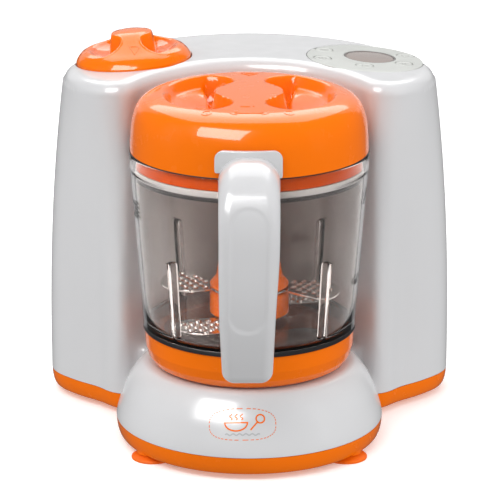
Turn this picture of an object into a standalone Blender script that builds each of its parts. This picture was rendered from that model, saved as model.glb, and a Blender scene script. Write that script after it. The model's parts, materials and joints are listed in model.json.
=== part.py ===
"""Baby food maker: a steamer and blender in one countertop appliance.

A white tower holds a water tank and boiler in its left lobe, and a motor and the controls in its
right lobe. A belt runs from the motor to a coupling in the round plinth, which turns the blades in
the jar that stands on it. The jar, its lid, the tank cap and the buttons are separate pieces.

Lengths are in millimetres until a mesh is made, where MM turns them into metres. The jar's axis is
X = Y = 0 in the numbers below, -Y is the front, and one empty carries the whole model so that the
origin ends up under the middle of the appliance.
"""

import math

import bmesh
import bpy
from mathutils import Matrix, Vector

MM = 0.001
GAP = 0.3                      # clearance between pieces that meet

# ---- driving dimensions ------------------------------------------------------------------------
JAR_AXIS_Y = -24.9             # the jar's axis, measured from the middle of the footprint

TOWER_TOP = 202.0              # crown of the tower at its middle
CROWN_FALL = 0.00053           # the crown falls by this times x squared
TOWER_BASE_Z = 14.0            # joint line between the white housing and the coloured tray
WALL = 2.6                     # housing wall
SHOULDER_R = 7.0               # rounding where the tower's walls turn into its top

PLINTH_R = 75.8                # plinth radius at the joint line
SEAT_Z = 46.0                  # top of the plinth, where the jar stands
SEAT_R = 57.5
CRADLE_FLOOR_Z = 39.5          # step behind the seat, under the cradle wall

TRAY_BOTTOM_Z = 4.5
TRAY_FLOOR_Z = 7.0

COLLAR_BOTTOM_Z = 46.4
COLLAR_TOP_Z = 66.0
BOWL_RIM_Z = 168.7
LID_BASE_Z = 169.2
LID_TOP_Z = 202.0
LID_R = 66.5

POD_X = 67.5                   # the tank cap and the control panel stand at plus and minus this x
POD_Y = 90.5
CAP_R = 33.5
PANEL_R = 34.0

MOTOR_XY = (66.0, 88.0)
FRONT_FOOT = (54.0, -37.0)
REAR_FOOT = (60.0, 126.0)
SIDE_SCREW = (106.0, 84.0)
FRONT_SCREW_R = 62.0
FRONT_SCREW_ANGLE = -52.0

# Tower outline, right half, from the middle of the back round to the middle of the cradle.
# Each pair is (x, y) at the joint line and (x, y) at the top; the walls lean from one to the other.
TOWER_KEYS = [
    ((0.0, 158.0), (0.0, 152.0)),
    ((37.0, 153.5), (35.0, 147.5)),
    ((73.0, 139.5), (68.0, 134.5)),
    ((101.0, 116.0), (93.5, 112.5)),
    ((115.0, 96.0), (105.0, 94.0)),
    ((118.0, 80.0), (107.3, 80.0)),
    ((114.0, 66.0), (104.8, 64.5)),
    ((102.0, 52.0), (97.5, 46.5)),
    ((89.0, 41.0), (87.0, 32.5)),
    ((80.5, 31.5), (76.5, 28.0)),
    ((72.0, 28.5), (67.5, 31.0)),
    ((62.0, 41.0), (59.5, 43.5)),
    ((50.0, 54.5), (48.0, 56.0)),
    ((34.0, 66.0), (33.0, 66.5)),
    ((17.0, 72.2), (17.0, 72.3)),
    ((0.0, 74.2), (0.0, 74.2)),
]
LEAN_FROM_Z = 25.0
LEAN_TO_Z = 197.0
LEAN_POWER = 2.2

# One quarter of a finger scoop's outline on the lid and on the tank cap, from the grip outwards.
LID_SCOOP = [(19.3, 0), (18.4, 7), (14.6, 14.5), (10.4, 20.5), (9.3, 26), (11.8, 32), (18.5, 37.5),
             (28, 37.8), (38.5, 29.5), (45.5, 16.5), (48, 0)]
CAP_SCOOP = [(12.0, 0), (11.6, 4.5), (9.0, 8.4), (6.2, 12), (6.8, 16.2), (10.8, 20.2), (17, 21.6),
             (24, 16.4), (28.1, 8.5), (29.2, 0)]

# Handle stations: the front face (y, z), the face towards the jar (y, z) and half the width.
HANDLE_STATIONS = [
    ((-67.3, 182.0), (-67.3, 156.0), 16.6),
    ((-78.0, 182.6), (-77.0, 156.2), 16.5),
    ((-87.5, 180.2), (-83.0, 155.0), 16.4),
    ((-96.5, 174.5), (-87.0, 152.0), 16.3),
    ((-103.3, 165.5), (-90.5, 148.5), 16.3),
    ((-107.0, 152.0), (-93.4, 142.5), 16.2),
    ((-108.2, 134.0), (-95.2, 131.0), 16.1),
    ((-107.5, 115.0), (-95.2, 115.0), 15.7),
    ((-104.5, 96.0), (-92.9, 98.0), 15.2),
    ((-100.0, 80.0), (-89.6, 83.5), 14.7),
    ((-95.8, 68.0), (-86.8, 71.5), 14.3),
    ((-92.4, 61.8), (-85.0, 65.5), 13.0),
]
HANDLE_WALL = 2.5
HANDLE_ROOM_Y = -70.0

TILT = math.atan(2 * CROWN_FALL * POD_X)
POD_Z = TOWER_TOP - CROWN_FALL * POD_X ** 2

BUTTONS = {
    "button_menu": (-23.5, 15.5),
    "button_steam": (-25.0, -6.5),
    "button_start": (-0.9, -18.5),
    "button_blend": (24.5, 14.5),
    "button_warm": (22.5, -6.5),
}
DISPLAY_XY = (3.0, 5.0)
DISPLAY_R = 15.3

STEAM_Z = 177.0                # the steam nozzle's height
CORD_Z = 30.0
# Profiles are (radius, z) and outlines are (x, y).
PLINTH_PROFILE = [(0, SEAT_Z), (SEAT_R, SEAT_Z), (59.5, 45.3), (62.5, 43.0), (66.6, 38.0),
                  (70.4, 31.0), (73.2, 23.5), (75.0, 18.0), (PLINTH_R, TOWER_BASE_Z)]

TANK_TOP_Z = 175.0
TANK_BOTTOM_Z = 72.0
STEAM_PORT = (-POD_X + 21.0, POD_Y + 6.0)

PULLEY_LOW = 13.5
PULLEY_HIGH = 23.5
BELT_LOW = 16.0
BELT_HIGH = 21.0
MOTOR_PULLEY_R = 8.5
DRIVE_PULLEY_R = 21.0
BELT_THICKNESS = 1.6

BOWL_OUTSIDE = [(66.9, BOWL_RIM_Z), (66.9, 159.4), (66.2, 156.4), (62.6, 104.0), (60.2, 69.2)]
BOWL_BOTTOM = [(57.4, 69.2), (57.4, 61.0), (54.9, 61.0), (54.9, 67.8), (10.0, 67.8), (10.0, 62.0),
               (8.0, 62.0), (8.0, 78.0), (10.0, 78.0), (10.0, 70.4)]
BOWL_INSIDE = [(54.5, 70.4), (57.4, 73.4), (60.1, 104.0), (63.8, 156.4), (64.4, 159.4),
               (64.4, BOWL_RIM_Z)]
RIB_LOW_Z = 70.0
RIB_HIGH_Z = 118.0
HANDLE_SCREW_Y = -73.5

RING_STEPS = 5                 # points of a blade's ring between its wings
WING = [(20.6, 6.5), (29, 10.5), (38, 9.5), (46, 4.5), (50.3, -4), (50, -13), (46.5, -21),
        (41, -25.5), (35, -23), (28, -17), (19.5, -9.5)]
LID_OUTSIDE = [(0, LID_TOP_Z), (44, 201.3), (51.0, 200.8), (57.5, 198.8), (62.0, 195.0),
               (64.8, 188.0), (66.1, 178.5), (LID_R, LID_BASE_Z)]
LID_WALL = 2.4

# ---- colours -----------------------------------------------------------------------------------
ORANGE = (0.92, 0.26, 0.012)
WHITE = (0.80, 0.81, 0.82)
COLOURS = {
    # name: (colour, roughness, metallic, alpha)
    "white_gloss": (WHITE, 0.18, 0.0, 1.0),
    "orange_gloss": (ORANGE, 0.22, 0.0, 1.0),
    "orange_rubber": (ORANGE, 0.45, 0.0, 1.0),
    "smoke_clear": ((0.45, 0.41, 0.39), 0.05, 0.0, 0.35),
    "tank_clear": ((0.85, 0.88, 0.90), 0.15, 0.0, 0.5),
    "black_rubber": ((0.02, 0.02, 0.022), 0.6, 0.0, 1.0),
    "panel_ivory": ((0.74, 0.75, 0.69), 0.35, 0.0, 1.0),
    "display_glass": ((0.35, 0.30, 0.28), 0.08, 0.0, 1.0),
    "steel": ((0.62, 0.62, 0.61), 0.25, 1.0, 1.0),
    "aluminium": ((0.75, 0.76, 0.78), 0.35, 1.0, 1.0),
    "circuit_green": ((0.03, 0.20, 0.09), 0.5, 0.0, 1.0),
    "black_plastic": ((0.03, 0.03, 0.03), 0.4, 0.0, 1.0),
}


# ---- scene set-up ------------------------------------------------------------------------------
def clear_scene():
    """Remove every object of the open file."""
    for old in list(bpy.data.objects):
        bpy.data.objects.remove(old, do_unlink=True)


def collection(name):
    """Return a collection of that name, linked to the scene."""
    found = bpy.data.collections.get(name)
    if found is None:
        found = bpy.data.collections.new(name)
        bpy.context.scene.collection.children.link(found)
    return found


def make_material(name):
    """Make one Principled material from the colour table."""
    colour, roughness, metallic, alpha = COLOURS[name]
    made = bpy.data.materials.new(name)
    made.use_nodes = True
    shader = made.node_tree.nodes["Principled BSDF"]
    shader.inputs["Base Color"].default_value = (*colour, 1.0)
    shader.inputs["Roughness"].default_value = roughness
    shader.inputs["Metallic"].default_value = metallic
    shader.inputs["Alpha"].default_value = alpha
    return made


def make_empty(name, place=(0, 0, 0), tilt=0.0, parent=None):
    """An empty that carries pieces; tilt turns it about Y."""
    carrier = bpy.data.objects.new(name, None)
    carrier.empty_display_size = 0.01
    carrier.location = Vector(place) * MM
    carrier.rotation_euler = (0.0, tilt, 0.0)
    carrier.parent = parent
    collection("baby_food_maker").objects.link(carrier)
    return carrier


def place_object(name, mesh, finish, parent, place=(0, 0, 0)):
    """Make an object of a mesh; with no finish it is a cutter, hidden from the model."""
    made = bpy.data.objects.new(name, mesh)
    made.location = Vector(place) * MM
    made.parent = parent
    if finish is None:
        collection("cutters").objects.link(made)
        made.hide_render = True
        made.display_type = "WIRE"
        return made
    collection("baby_food_maker").objects.link(made)
    if finish not in bpy.data.materials:
        make_material(finish)
    mesh.materials.append(bpy.data.materials[finish])
    return made


def shade(made, angle=40.0):
    """Shade a mesh smooth, with edges sharper than the angle left crisp."""
    made.data.shade_smooth()
    made.data.set_sharp_from_angle(angle=math.radians(angle))


# ---- shape helpers -----------------------------------------------------------------------------
def turned(name, profile, finish, parent, place=(0, 0, 0), steps=32):
    """Turn a profile of (radius, z) points about Z; a closed loop unless it ends on the axis."""
    mesh = bpy.data.meshes.new(name)
    points = [(r * MM, 0.0, z * MM) for r, z in profile]
    edges = [(i, i + 1) for i in range(len(points) - 1)]
    if profile[0][0] > 0 or profile[-1][0] > 0:
        edges.append((len(points) - 1, 0))
    mesh.from_pydata(points, edges, [])
    made = place_object(name, mesh, finish, parent, place)
    screw = made.modifiers.new("turn", "SCREW")
    screw.axis = "Z"
    screw.steps = steps
    screw.render_steps = steps
    screw.use_merge_vertices = True
    screw.merge_threshold = 0.00001
    screw.use_smooth_shade = True
    return made


def prism(name, outlines, low, high, finish, parent, place=(0, 0, 0)):
    """A flat outline, with any holes, filled and extruded between two heights."""
    flat = bpy.data.curves.new(name, "CURVE")
    flat.dimensions = "2D"
    flat.fill_mode = "BOTH"
    flat.extrude = (high - low) / 2 * MM
    for outline in outlines:
        spline = flat.splines.new("POLY")
        spline.points.add(len(outline) - 1)
        for point, (x, y) in zip(spline.points, outline):
            point.co = (x * MM, y * MM, 0.0, 1.0)
        spline.use_cyclic_u = True
    drawn = bpy.data.objects.new(name + "_outline", flat)
    collection("cutters").objects.link(drawn)
    mesh = as_mesh(drawn)
    mesh.transform(Matrix.Translation((0.0, 0.0, (high + low) / 2 * MM)))
    mesh.name = name
    return place_object(name, mesh, finish, parent, place)


def as_mesh(drawn):
    """Turn a curve object into a welded mesh with its faces out, and remove the curve."""
    bpy.context.view_layer.update()
    graph = bpy.context.evaluated_depsgraph_get()
    mesh = bpy.data.meshes.new_from_object(drawn.evaluated_get(graph))
    bpy.data.objects.remove(drawn, do_unlink=True)
    mesh.materials.clear()
    build = bmesh.new()
    build.from_mesh(mesh)
    bmesh.ops.remove_doubles(build, verts=build.verts, dist=0.00001)
    bmesh.ops.recalc_face_normals(build, faces=build.faces)
    build.to_mesh(mesh)
    build.free()
    return mesh


def block(name, low, high, finish, parent, place=(0, 0, 0)):
    """A box between two corners."""
    build = bmesh.new()
    bmesh.ops.create_cube(build, size=1.0)
    low, high = Vector(low) * MM, Vector(high) * MM
    for corner in build.verts:
        corner.co = Vector(low[i] + (corner.co[i] + 0.5) * (high[i] - low[i]) for i in range(3))
    mesh = bpy.data.meshes.new(name)
    build.to_mesh(mesh)
    build.free()
    return place_object(name, mesh, finish, parent, place)


def cylinder(name, radius, low, high, finish, parent, place=(0, 0, 0), steps=24, turn=0.0):
    """A round bar along Z between two heights."""
    build = bmesh.new()
    bmesh.ops.create_cone(
        build, cap_ends=True, segments=steps, radius1=radius * MM, radius2=radius * MM,
        depth=(high - low) * MM,
        matrix=Matrix.Translation((0, 0, (high + low) / 2 * MM)) @ Matrix.Rotation(turn, 4, "Z"))
    mesh = bpy.data.meshes.new(name)
    build.to_mesh(mesh)
    build.free()
    made = place_object(name, mesh, finish, parent, place)
    if finish is not None:
        shade(made)
    return made


def loft(name, rings, finish, parent, place=(0, 0, 0), caps=None):
    """Join rings of equal length with quads; caps adds the faces that close both ends."""
    build = bmesh.new()
    rows = [[build.verts.new(Vector(p) * MM) for p in ring] for ring in rings]
    count = len(rows[0])
    for lower, upper in zip(rows, rows[1:]):
        for i in range(count):
            j = (i + 1) % count
            build.faces.new((lower[i], lower[j], upper[j], upper[i]))
    for row in (rows[0], rows[-1]):
        if caps is None:
            build.faces.new(row)
        else:
            for face in caps(count):
                build.faces.new([row[i] for i in face])
    bmesh.ops.recalc_face_normals(build, faces=build.faces)
    mesh = bpy.data.meshes.new(name)
    build.to_mesh(mesh)
    build.free()
    made = place_object(name, mesh, finish, parent, place)
    shade(made)
    return made


def boolean(target, other, operation):
    """Join, cut or intersect two solids."""
    change = target.modifiers.new(operation.lower() + "_" + other.name, "BOOLEAN")
    change.object = other
    change.operation = operation
    change.solver = "EXACT"


def cut(target, *others):
    """Cut each of the other solids out of the target."""
    for other in others:
        boolean(target, other, "DIFFERENCE")


def join(target, *others):
    """Add each of the other solids to the target."""
    for other in others:
        boolean(target, other, "UNION")


# ---- outlines ----------------------------------------------------------------------------------
def spline_through(keys, per_span, closed=False):
    """Points of a Catmull-Rom curve through the keys."""
    count = len(keys)
    spans = count if closed else count - 1
    points = []
    for i in range(spans):
        around = [keys[(i + k) % count] if closed else keys[min(max(i + k, 0), count - 1)]
                  for k in (-1, 0, 1, 2)]
        for step in range(per_span):
            t = step / per_span
            points.append(catmull_rom(around, t))
    if not closed:
        points.append(tuple(keys[-1]))
    return points


def catmull_rom(around, t):
    """One point between the second and third of four keys."""
    before, start, end, after = around
    return tuple(
        0.5 * (2 * b + (c - a) * t + (2 * a - 5 * b + 4 * c - d) * t ** 2
               + (3 * b - a - 3 * c + d) * t ** 3)
        for a, b, c, d in zip(before, start, end, after))


def lean(z):
    """How far the tower's walls have leant in at a height: 0 at the bottom, 1 at the top."""
    share = (min(z, LEAN_TO_Z) - LEAN_FROM_Z) / (LEAN_TO_Z - LEAN_FROM_Z)
    return max(share, 0.0) ** LEAN_POWER


def crown(x):
    """Height of the tower's top at x."""
    return TOWER_TOP - CROWN_FALL * x * x


def tower_half(z, inset):
    """Right half of the tower's outline at a height, moved inwards by inset."""
    t = lean(z)
    keys = [tuple(a + (b - a) * t for a, b in zip(low, high)) for low, high in TOWER_KEYS]
    mirrored = [(-keys[1][0], keys[1][1])] + keys + [(-keys[-2][0], keys[-2][1])]
    curve = spline_through(mirrored, 8)[8:-8]
    moved = []
    for i, (x, y) in enumerate(curve):
        before, after = curve[max(i - 1, 0)], curve[min(i + 1, len(curve) - 1)]
        along = Vector((after[0] - before[0], after[1] - before[1]))
        if i in (0, len(curve) - 1):
            along = Vector((1.0 if i == 0 else -1.0, 0.0))
        along.normalize()
        moved.append((x + along.y * inset, y - along.x * inset))
    return moved


def value_at(line, x):
    """y of a polyline of (x, y) points, with x rising, at x."""
    for (x0, y0), (x1, y1) in zip(line, line[1:]):
        if x <= x1:
            return y0 + (y1 - y0) * (x - x0) / max(x1 - x0, 1e-9)
    return line[-1][1]


def tower_ring(z, inset, count, height=None):
    """Outline of the tower as a ring whose back and front points share their x values."""
    half = tower_half(z, inset)
    widest = max(range(len(half)), key=lambda i: half[i][0])
    back, front = half[:widest + 1], half[widest:][::-1]
    width = half[widest][0]
    xs = [width * math.sin(math.pi / 2 * (2 * i / count - 1)) for i in range(count + 1)]
    ring = [(x, value_at(back, abs(x))) for x in xs]
    ring += [(x, value_at(front, abs(x))) for x in xs[-2:0:-1]]
    return [(x, y, height(x) if height else z) for x, y in ring]


def tower_caps(length):
    """Faces across the tower, each between a pair of back points and the front points facing."""
    half = length // 2
    faces = [(0, 1, length - 1)]
    faces += [(i, i + 1, length - i - 1, length - i) for i in range(1, half - 1)]
    faces.append((half - 1, half, half + 1))
    return faces


def tower_solid(name, inset, low, levels, count, parent, finish=None):
    """The tower, or the room inside it, closed by its crowned top."""
    rings = [tower_ring(low, inset, count)]
    rings += [tower_ring(z, inset, count) for z in levels]
    inner = SHOULDER_R - inset
    arc_steps = 2
    for step in range(arc_steps + 1):
        angle = math.pi / 2 * step / arc_steps
        rise = inner * math.sin(angle)
        rings.append(tower_ring(
            TOWER_TOP - SHOULDER_R, inset + inner * (1 - math.cos(angle)), count,
            lambda x, rise=rise: crown(x) - SHOULDER_R + rise))
    return loft(name, rings, finish, parent, caps=tower_caps)


def scoop_outline(quarter, side, grow=0.0, per_span=1):
    """Closed outline of one finger scoop on the left (-1) or right (1) of the grip."""
    keys = [(side * x, y) for x, y in quarter]
    keys += [(side * x, -y) for x, y in quarter[-2:0:-1]]
    points = spline_through(keys, per_span, closed=True)
    if not grow:
        return points
    grown = []
    for i, point in enumerate(points):
        along = Vector(points[(i + 1) % len(points)]) - Vector(points[i - 1])
        normal = Vector((along.y, -along.x)).normalized()
        if sum_area(points) < 0:
            normal = -normal
        grown.append(tuple(Vector(point) + normal * grow))
    return grown


def sum_area(points):
    """Signed area of a closed outline."""
    return sum(a[0] * b[1] - b[0] * a[1] for a, b in zip(points, points[1:] + points[:1])) / 2


def circle(radius, steps, centre=(0.0, 0.0)):
    """Points of a circle."""
    return [(centre[0] + radius * math.cos(2 * math.pi * i / steps),
             centre[1] + radius * math.sin(2 * math.pi * i / steps)) for i in range(steps)]


def sector(inner, outer, start, end, steps=14):
    """Outline of a ring's sector between two angles in degrees."""
    angles = [math.radians(start + (end - start) * i / steps) for i in range(steps + 1)]
    points = [(outer * math.cos(a), outer * math.sin(a)) for a in angles]
    points += [(inner * math.cos(a), inner * math.sin(a)) for a in reversed(angles)]
    return points


# ---- housing and base --------------------------------------------------------------------------


def plinth_solid(name, inset, low, parent):
    """The round plinth, or the room inside it."""
    profile = [(0, SEAT_Z - inset)]
    for r, z in PLINTH_PROFILE[1:]:
        profile.append((r - inset * 0.85, z - inset * 0.55 if r > SEAT_R + 1 else z - inset))
    profile[-1] = (PLINTH_R - inset, TOWER_BASE_Z)
    if low < TOWER_BASE_Z:
        profile.append((PLINTH_R - inset, low))
    profile.append((0, profile[-1][1]))
    return turned(name, profile, None, parent, steps=28)


def screw_places():
    """(x, y, angle towards the wall) of the four screws that hold the tray to the housing."""
    places = []
    for side in (-1, 1):
        outward = 0.0 if side > 0 else 180.0
        places.append((side * SIDE_SCREW[0], SIDE_SCREW[1], outward))
        angle = FRONT_SCREW_ANGLE if side > 0 else 180.0 - FRONT_SCREW_ANGLE
        turn = math.radians(angle)
        places.append((FRONT_SCREW_R * math.cos(turn), FRONT_SCREW_R * math.sin(turn), angle))
    return places


def make_housing(root, cap_pod, panel_pod):
    """White housing: tower and plinth in one hollow moulding, open underneath."""
    levels = (26.0, 95.0, 150.0)
    housing = tower_solid("housing_shell", 0.0, TOWER_BASE_Z, levels, 26, root, "white_gloss")
    join(housing, plinth_solid("plinth_form", 0.0, TOWER_BASE_Z, root),
         prism("cradle_floor_form", [sector(45, 80, 30, 150)], TOWER_BASE_Z, CRADLE_FLOOR_Z,
               None, root))
    below = TOWER_BASE_Z - 3
    cut(housing, tower_solid("tower_room", WALL, below, (40.0, 130.0), 20, root),
        plinth_solid("plinth_room", WALL, below - 1, root),
        prism("cradle_floor_room", [sector(44, 84, 33, 147)], below - 2, CRADLE_FLOOR_Z - WALL,
              None, root))
    add_housing_bosses(housing, root)
    cut_cap_dish(housing, cap_pod)
    cut_panel_seat(housing, panel_pod)
    nozzle_hole = cylinder("nozzle_hole", 5.4, -95, -60, None, root, (0, 0, STEAM_Z), 20)
    nozzle_hole.rotation_euler = (math.radians(90), 0, 0)
    cord_hole = cylinder("cord_hole", 6.3, -170, -140, None, root, (0, 0, CORD_Z), 20)
    cord_hole.rotation_euler = (math.radians(90), 0, 0)
    cut(housing, nozzle_hole, cord_hole)
    return housing


def add_housing_bosses(housing, root):
    """Spindle boss, jar locating ring and the bosses that take the tray screws."""
    join(housing, cylinder("spindle_boss", 12.0, 26.0, SEAT_Z - 1, None, root))
    locating = [(49.4, 49.0), (49.4, SEAT_Z - 1), (46.8, SEAT_Z - 1), (46.8, 49.0)]
    join(housing, turned("locating_ring", locating, None, root, steps=28))
    for i, (x, y, angle) in enumerate(screw_places()):
        join(housing, cylinder(f"screw_boss_{i}", 4.5, TOWER_BASE_Z + GAP, 31.0, None, root,
                               (x, y, 0), 10))
        rib = block(f"screw_rib_{i}", (0, -1.5, TOWER_BASE_Z + 2), (10.8, 1.5, 24.0),
                    None, root, (x, y, 0))
        rib.rotation_euler = (0, 0, math.radians(angle))
        join(housing, rib)
        cut(housing, cylinder(f"screw_bore_{i}", 2.2, 10.0, 27.0, None, root, (x, y, 0), 8))
    cut(housing, cylinder("spindle_bore", 8.3, 20.0, 52.0, None, root))


def cut_cap_dish(housing, pod):
    """Sunken dish in the crown for the tank cap, with the filler hole in its floor."""
    join(housing, cylinder("cap_dish", 35.6, -9.0, -2.0, None, pod, steps=32))
    cut(housing, cylinder("cap_hole", 34.0, -7.0, 9.0, None, pod, steps=32),
        cylinder("filler_hole", 27.2, -12.0, 0.0, None, pod, steps=20))


def cut_panel_seat(housing, pod):
    """Round seat in the crown for the control panel, on a ledge."""
    join(housing, cylinder("panel_ledge", 35.6, -4.8, -2.0, None, pod, steps=32))
    cut(housing, cylinder("panel_seat", PANEL_R + GAP, -1.9, 8.0, None, pod, steps=32),
        cylinder("panel_hole", 33.0, -12.0, 0.0, None, pod, steps=24))
    for name in ("button_menu", "button_blend"):
        cut(housing, cylinder(f"{name}_room", 6.7, -11.0, 0.1, None, pod, (*BUTTONS[name], 0), 12))


def base_ring(z, inset, around=15, across=10):
    """Outline of the appliance's foot: the tower's lobes and the plinth's circle in one line."""
    half = tower_half(TOWER_BASE_Z, 0.0)
    middle = len(half) // 2
    notch = next(i for i, point in enumerate(half) if i > middle and math.hypot(*point) < PLINTH_R)
    points = along_line(half[:notch + 1], around)
    start = math.atan2(points[-1][1], points[-1][0])
    for step in range(1, across + 1):
        angle = start + (-math.pi / 2 - start) * step / across
        points.append((PLINTH_R * math.cos(angle), PLINTH_R * math.sin(angle)))
    points += [(-x, y) for x, y in points[-2:0:-1]]
    moved = []
    for i, (x, y) in enumerate(points):
        before, after = Vector(points[i - 1]), Vector(points[(i + 1) % len(points)])
        along = (after - before).normalized()
        moved.append((x + along.y * inset, y - along.x * inset, z))
    return moved


def along_line(line, count):
    """Points spaced evenly along a polyline, its ends included."""
    lengths = [0.0]
    for a, b in zip(line, line[1:]):
        lengths.append(lengths[-1] + math.dist(a, b))
    points = []
    i = 0
    for step in range(count + 1):
        goal = lengths[-1] * step / count
        while i < len(line) - 2 and lengths[i + 1] < goal:
            i += 1
        share = (goal - lengths[i]) / max(lengths[i + 1] - lengths[i], 1e-9)
        points.append(tuple(a + (b - a) * share for a, b in zip(line[i], line[i + 1])))
    return points


def make_tray(root):
    """Coloured base tray that closes the housing from below."""
    levels = [(TRAY_BOTTOM_Z, 8.0), (6.0, 4.2), (8.2, 1.8), (11.0, 0.4), (TOWER_BASE_Z - GAP, 0.0),
              (TOWER_BASE_Z - GAP, 2.4), (9.5, 3.0), (TRAY_FLOOR_Z, 7.0)]
    tray = loft("base_tray", [base_ring(z, inset) for z, inset in levels], "orange_gloss", root)
    for i, (x, y, _) in enumerate(screw_places()):
        join(tray, cylinder(f"tray_post_{i}", 6.0, TRAY_BOTTOM_Z, 13.4, None, root, (x, y, 0), 10))
        cut(tray, cylinder(f"tray_recess_{i}", 4.4, 0.0, 10.0, None, root, (x, y, 0), 10),
            cylinder(f"tray_hole_{i}", 2.2, 5.0, 15.0, None, root, (x, y, 0), 8))
    for i, (x, y) in enumerate(foot_places().values()):
        join(tray, cylinder(f"foot_pad_{i}", 7.0, TRAY_BOTTOM_Z, 9.0, None, root, (x, y, 0), 10))
        cut(tray, cylinder(f"foot_hole_{i}", 3.4, 0.0, 15.0, None, root, (x, y, 0), 10))
    return tray


def foot_places():
    """Name and (x, y) of the four suction feet."""
    places = {}
    for end, (x, y) in (("front", FRONT_FOOT), ("rear", REAR_FOOT)):
        for side, sign in (("left", -1), ("right", 1)):
            places[f"foot_{end}_{side}"] = (sign * x, y)
    return places


def make_feet(root):
    """Suction cups, each held in the tray by a button on its stem."""
    profile = [(0, 11.6), (4.2, 11.6), (4.8, 9.3), (3.0, 9.3), (3.0, 4.2), (6.2, 4.2), (8.0, 2.9),
               (12.0, 0.8), (12.0, 0.0), (10.0, 0.0), (0, 2.0)]
    for name, (x, y) in foot_places().items():
        turned(name, profile, "orange_rubber", root, (x, y, 0), 12)


def make_tray_screws(root):
    """Four screws up through the tray into the housing."""
    profile = [(0, 24.0), (1.4, 24.0), (1.8, 22.5), (1.8, 9.7), (3.7, 9.7), (3.7, 7.6), (0, 7.6)]
    for i, (x, y, _) in enumerate(screw_places()):
        turned(f"tray_screw_{i + 1}", profile, "steel", root, (x, y, 0), 8)


# ---- water and steam ---------------------------------------------------------------------------


def make_water_side(root, pod):
    """Tank, filler neck, boiler and the steam path to the back of the lid."""
    place = (-POD_X, POD_Y, 0)
    tank = [(33.0, TANK_TOP_Z - 3), (33.0, TANK_BOTTOM_Z + 3), (30.0, TANK_BOTTOM_Z),
            (3.2, TANK_BOTTOM_Z), (3.2, TANK_BOTTOM_Z + 2), (29.2, TANK_BOTTOM_Z + 2),
            (31.0, TANK_BOTTOM_Z + 4), (31.0, TANK_TOP_Z - 4), (29.2, TANK_TOP_Z - 2),
            (24.0, TANK_TOP_Z - 2), (24.0, TANK_TOP_Z), (30.0, TANK_TOP_Z)]
    turned("water_tank", tank, "tank_clear", root, place, 20)
    neck = [(31.0, -5.2), (31.0, -6.7), (26.8, -6.7), (26.8, -22.0), (24.4, -22.0), (24.4, -5.2)]
    turned("filler_neck", neck, "white_gloss", pod, steps=20)
    seal = [(6.0, TANK_BOTTOM_Z - GAP), (6.0, 56.7), (2.6, 56.7), (2.6, TANK_BOTTOM_Z - GAP)]
    turned("feed_seal", seal, "black_rubber", root, place, 12)
    cup = [(0, 27.0), (26.0, 27.0), (26.0, 52.0), (28.0, 52.0), (28.0, 24.0), (0, 24.0)]
    turned("boiler_cup", cup, "aluminium", root, place, 20)
    lid = [(28.0, 56.3), (28.0, 52.3), (3.2, 52.3), (3.2, 56.3)]
    boiler_lid = turned("boiler_lid", lid, "black_plastic", root, place, 20)
    cut(boiler_lid, cylinder("steam_port", 3.0, 50.0, 60.0, None, root,
                             (STEAM_PORT[0], STEAM_PORT[1], 0), 12))
    heater = [(31.5, 34.0), (31.5, 25.0), (28.4, 25.0), (28.4, 34.0)]
    turned("boiler_heater", heater, "steel", root, place, 20)
    cylinder("boiler_thermostat", 8.0, 15.0, 23.6, "black_plastic", root, place, 12)
    make_hose(root)
    nozzle = [(5.0, -67.7), (5.0, -77.4), (8.5, -77.4), (8.5, -79.4), (5.4, -79.4), (5.4, -84.0),
              (2.6, -84.0), (2.6, -67.7)]
    made = turned("steam_nozzle", nozzle, "white_gloss", root, (0, 0, STEAM_Z), 14)
    made.rotation_euler = (math.radians(90), 0, 0)


def make_hose(root):
    """Hose from the boiler's steam port up behind the cradle to the nozzle."""
    keys = [(*STEAM_PORT, 56.8), (*STEAM_PORT, 60.5), (-41.5, 97.8, 63.6), (-33.0, 99.0, 65.5),
            (-26.0, 100.0, 74.0), (-23.0, 100.0, 100.0), (-22.0, 100.0, 140.0),
            (-15.0, 99.0, 168.0), (-4.0, 95.0, 176.8), (0.0, 89.0, STEAM_Z), (0.0, 84.4, STEAM_Z)]
    line = bpy.data.curves.new("steam_hose", "CURVE")
    line.dimensions = "3D"
    line.bevel_depth = 4.2 * MM
    line.bevel_resolution = 1
    spline = line.splines.new("POLY")
    points = spline_through(keys, 1)
    spline.points.add(len(points) - 1)
    for point, place in zip(spline.points, points):
        point.co = (*(Vector(place) * MM), 1.0)
    drawn = bpy.data.objects.new("steam_hose_line", line)
    collection("cutters").objects.link(drawn)
    hose = place_object("steam_hose", as_mesh(drawn), "black_rubber", root)
    wall = hose.modifiers.new("wall", "SOLIDIFY")
    wall.thickness = 1.3 * MM
    wall.offset = -1.0
    shade(hose)


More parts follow.
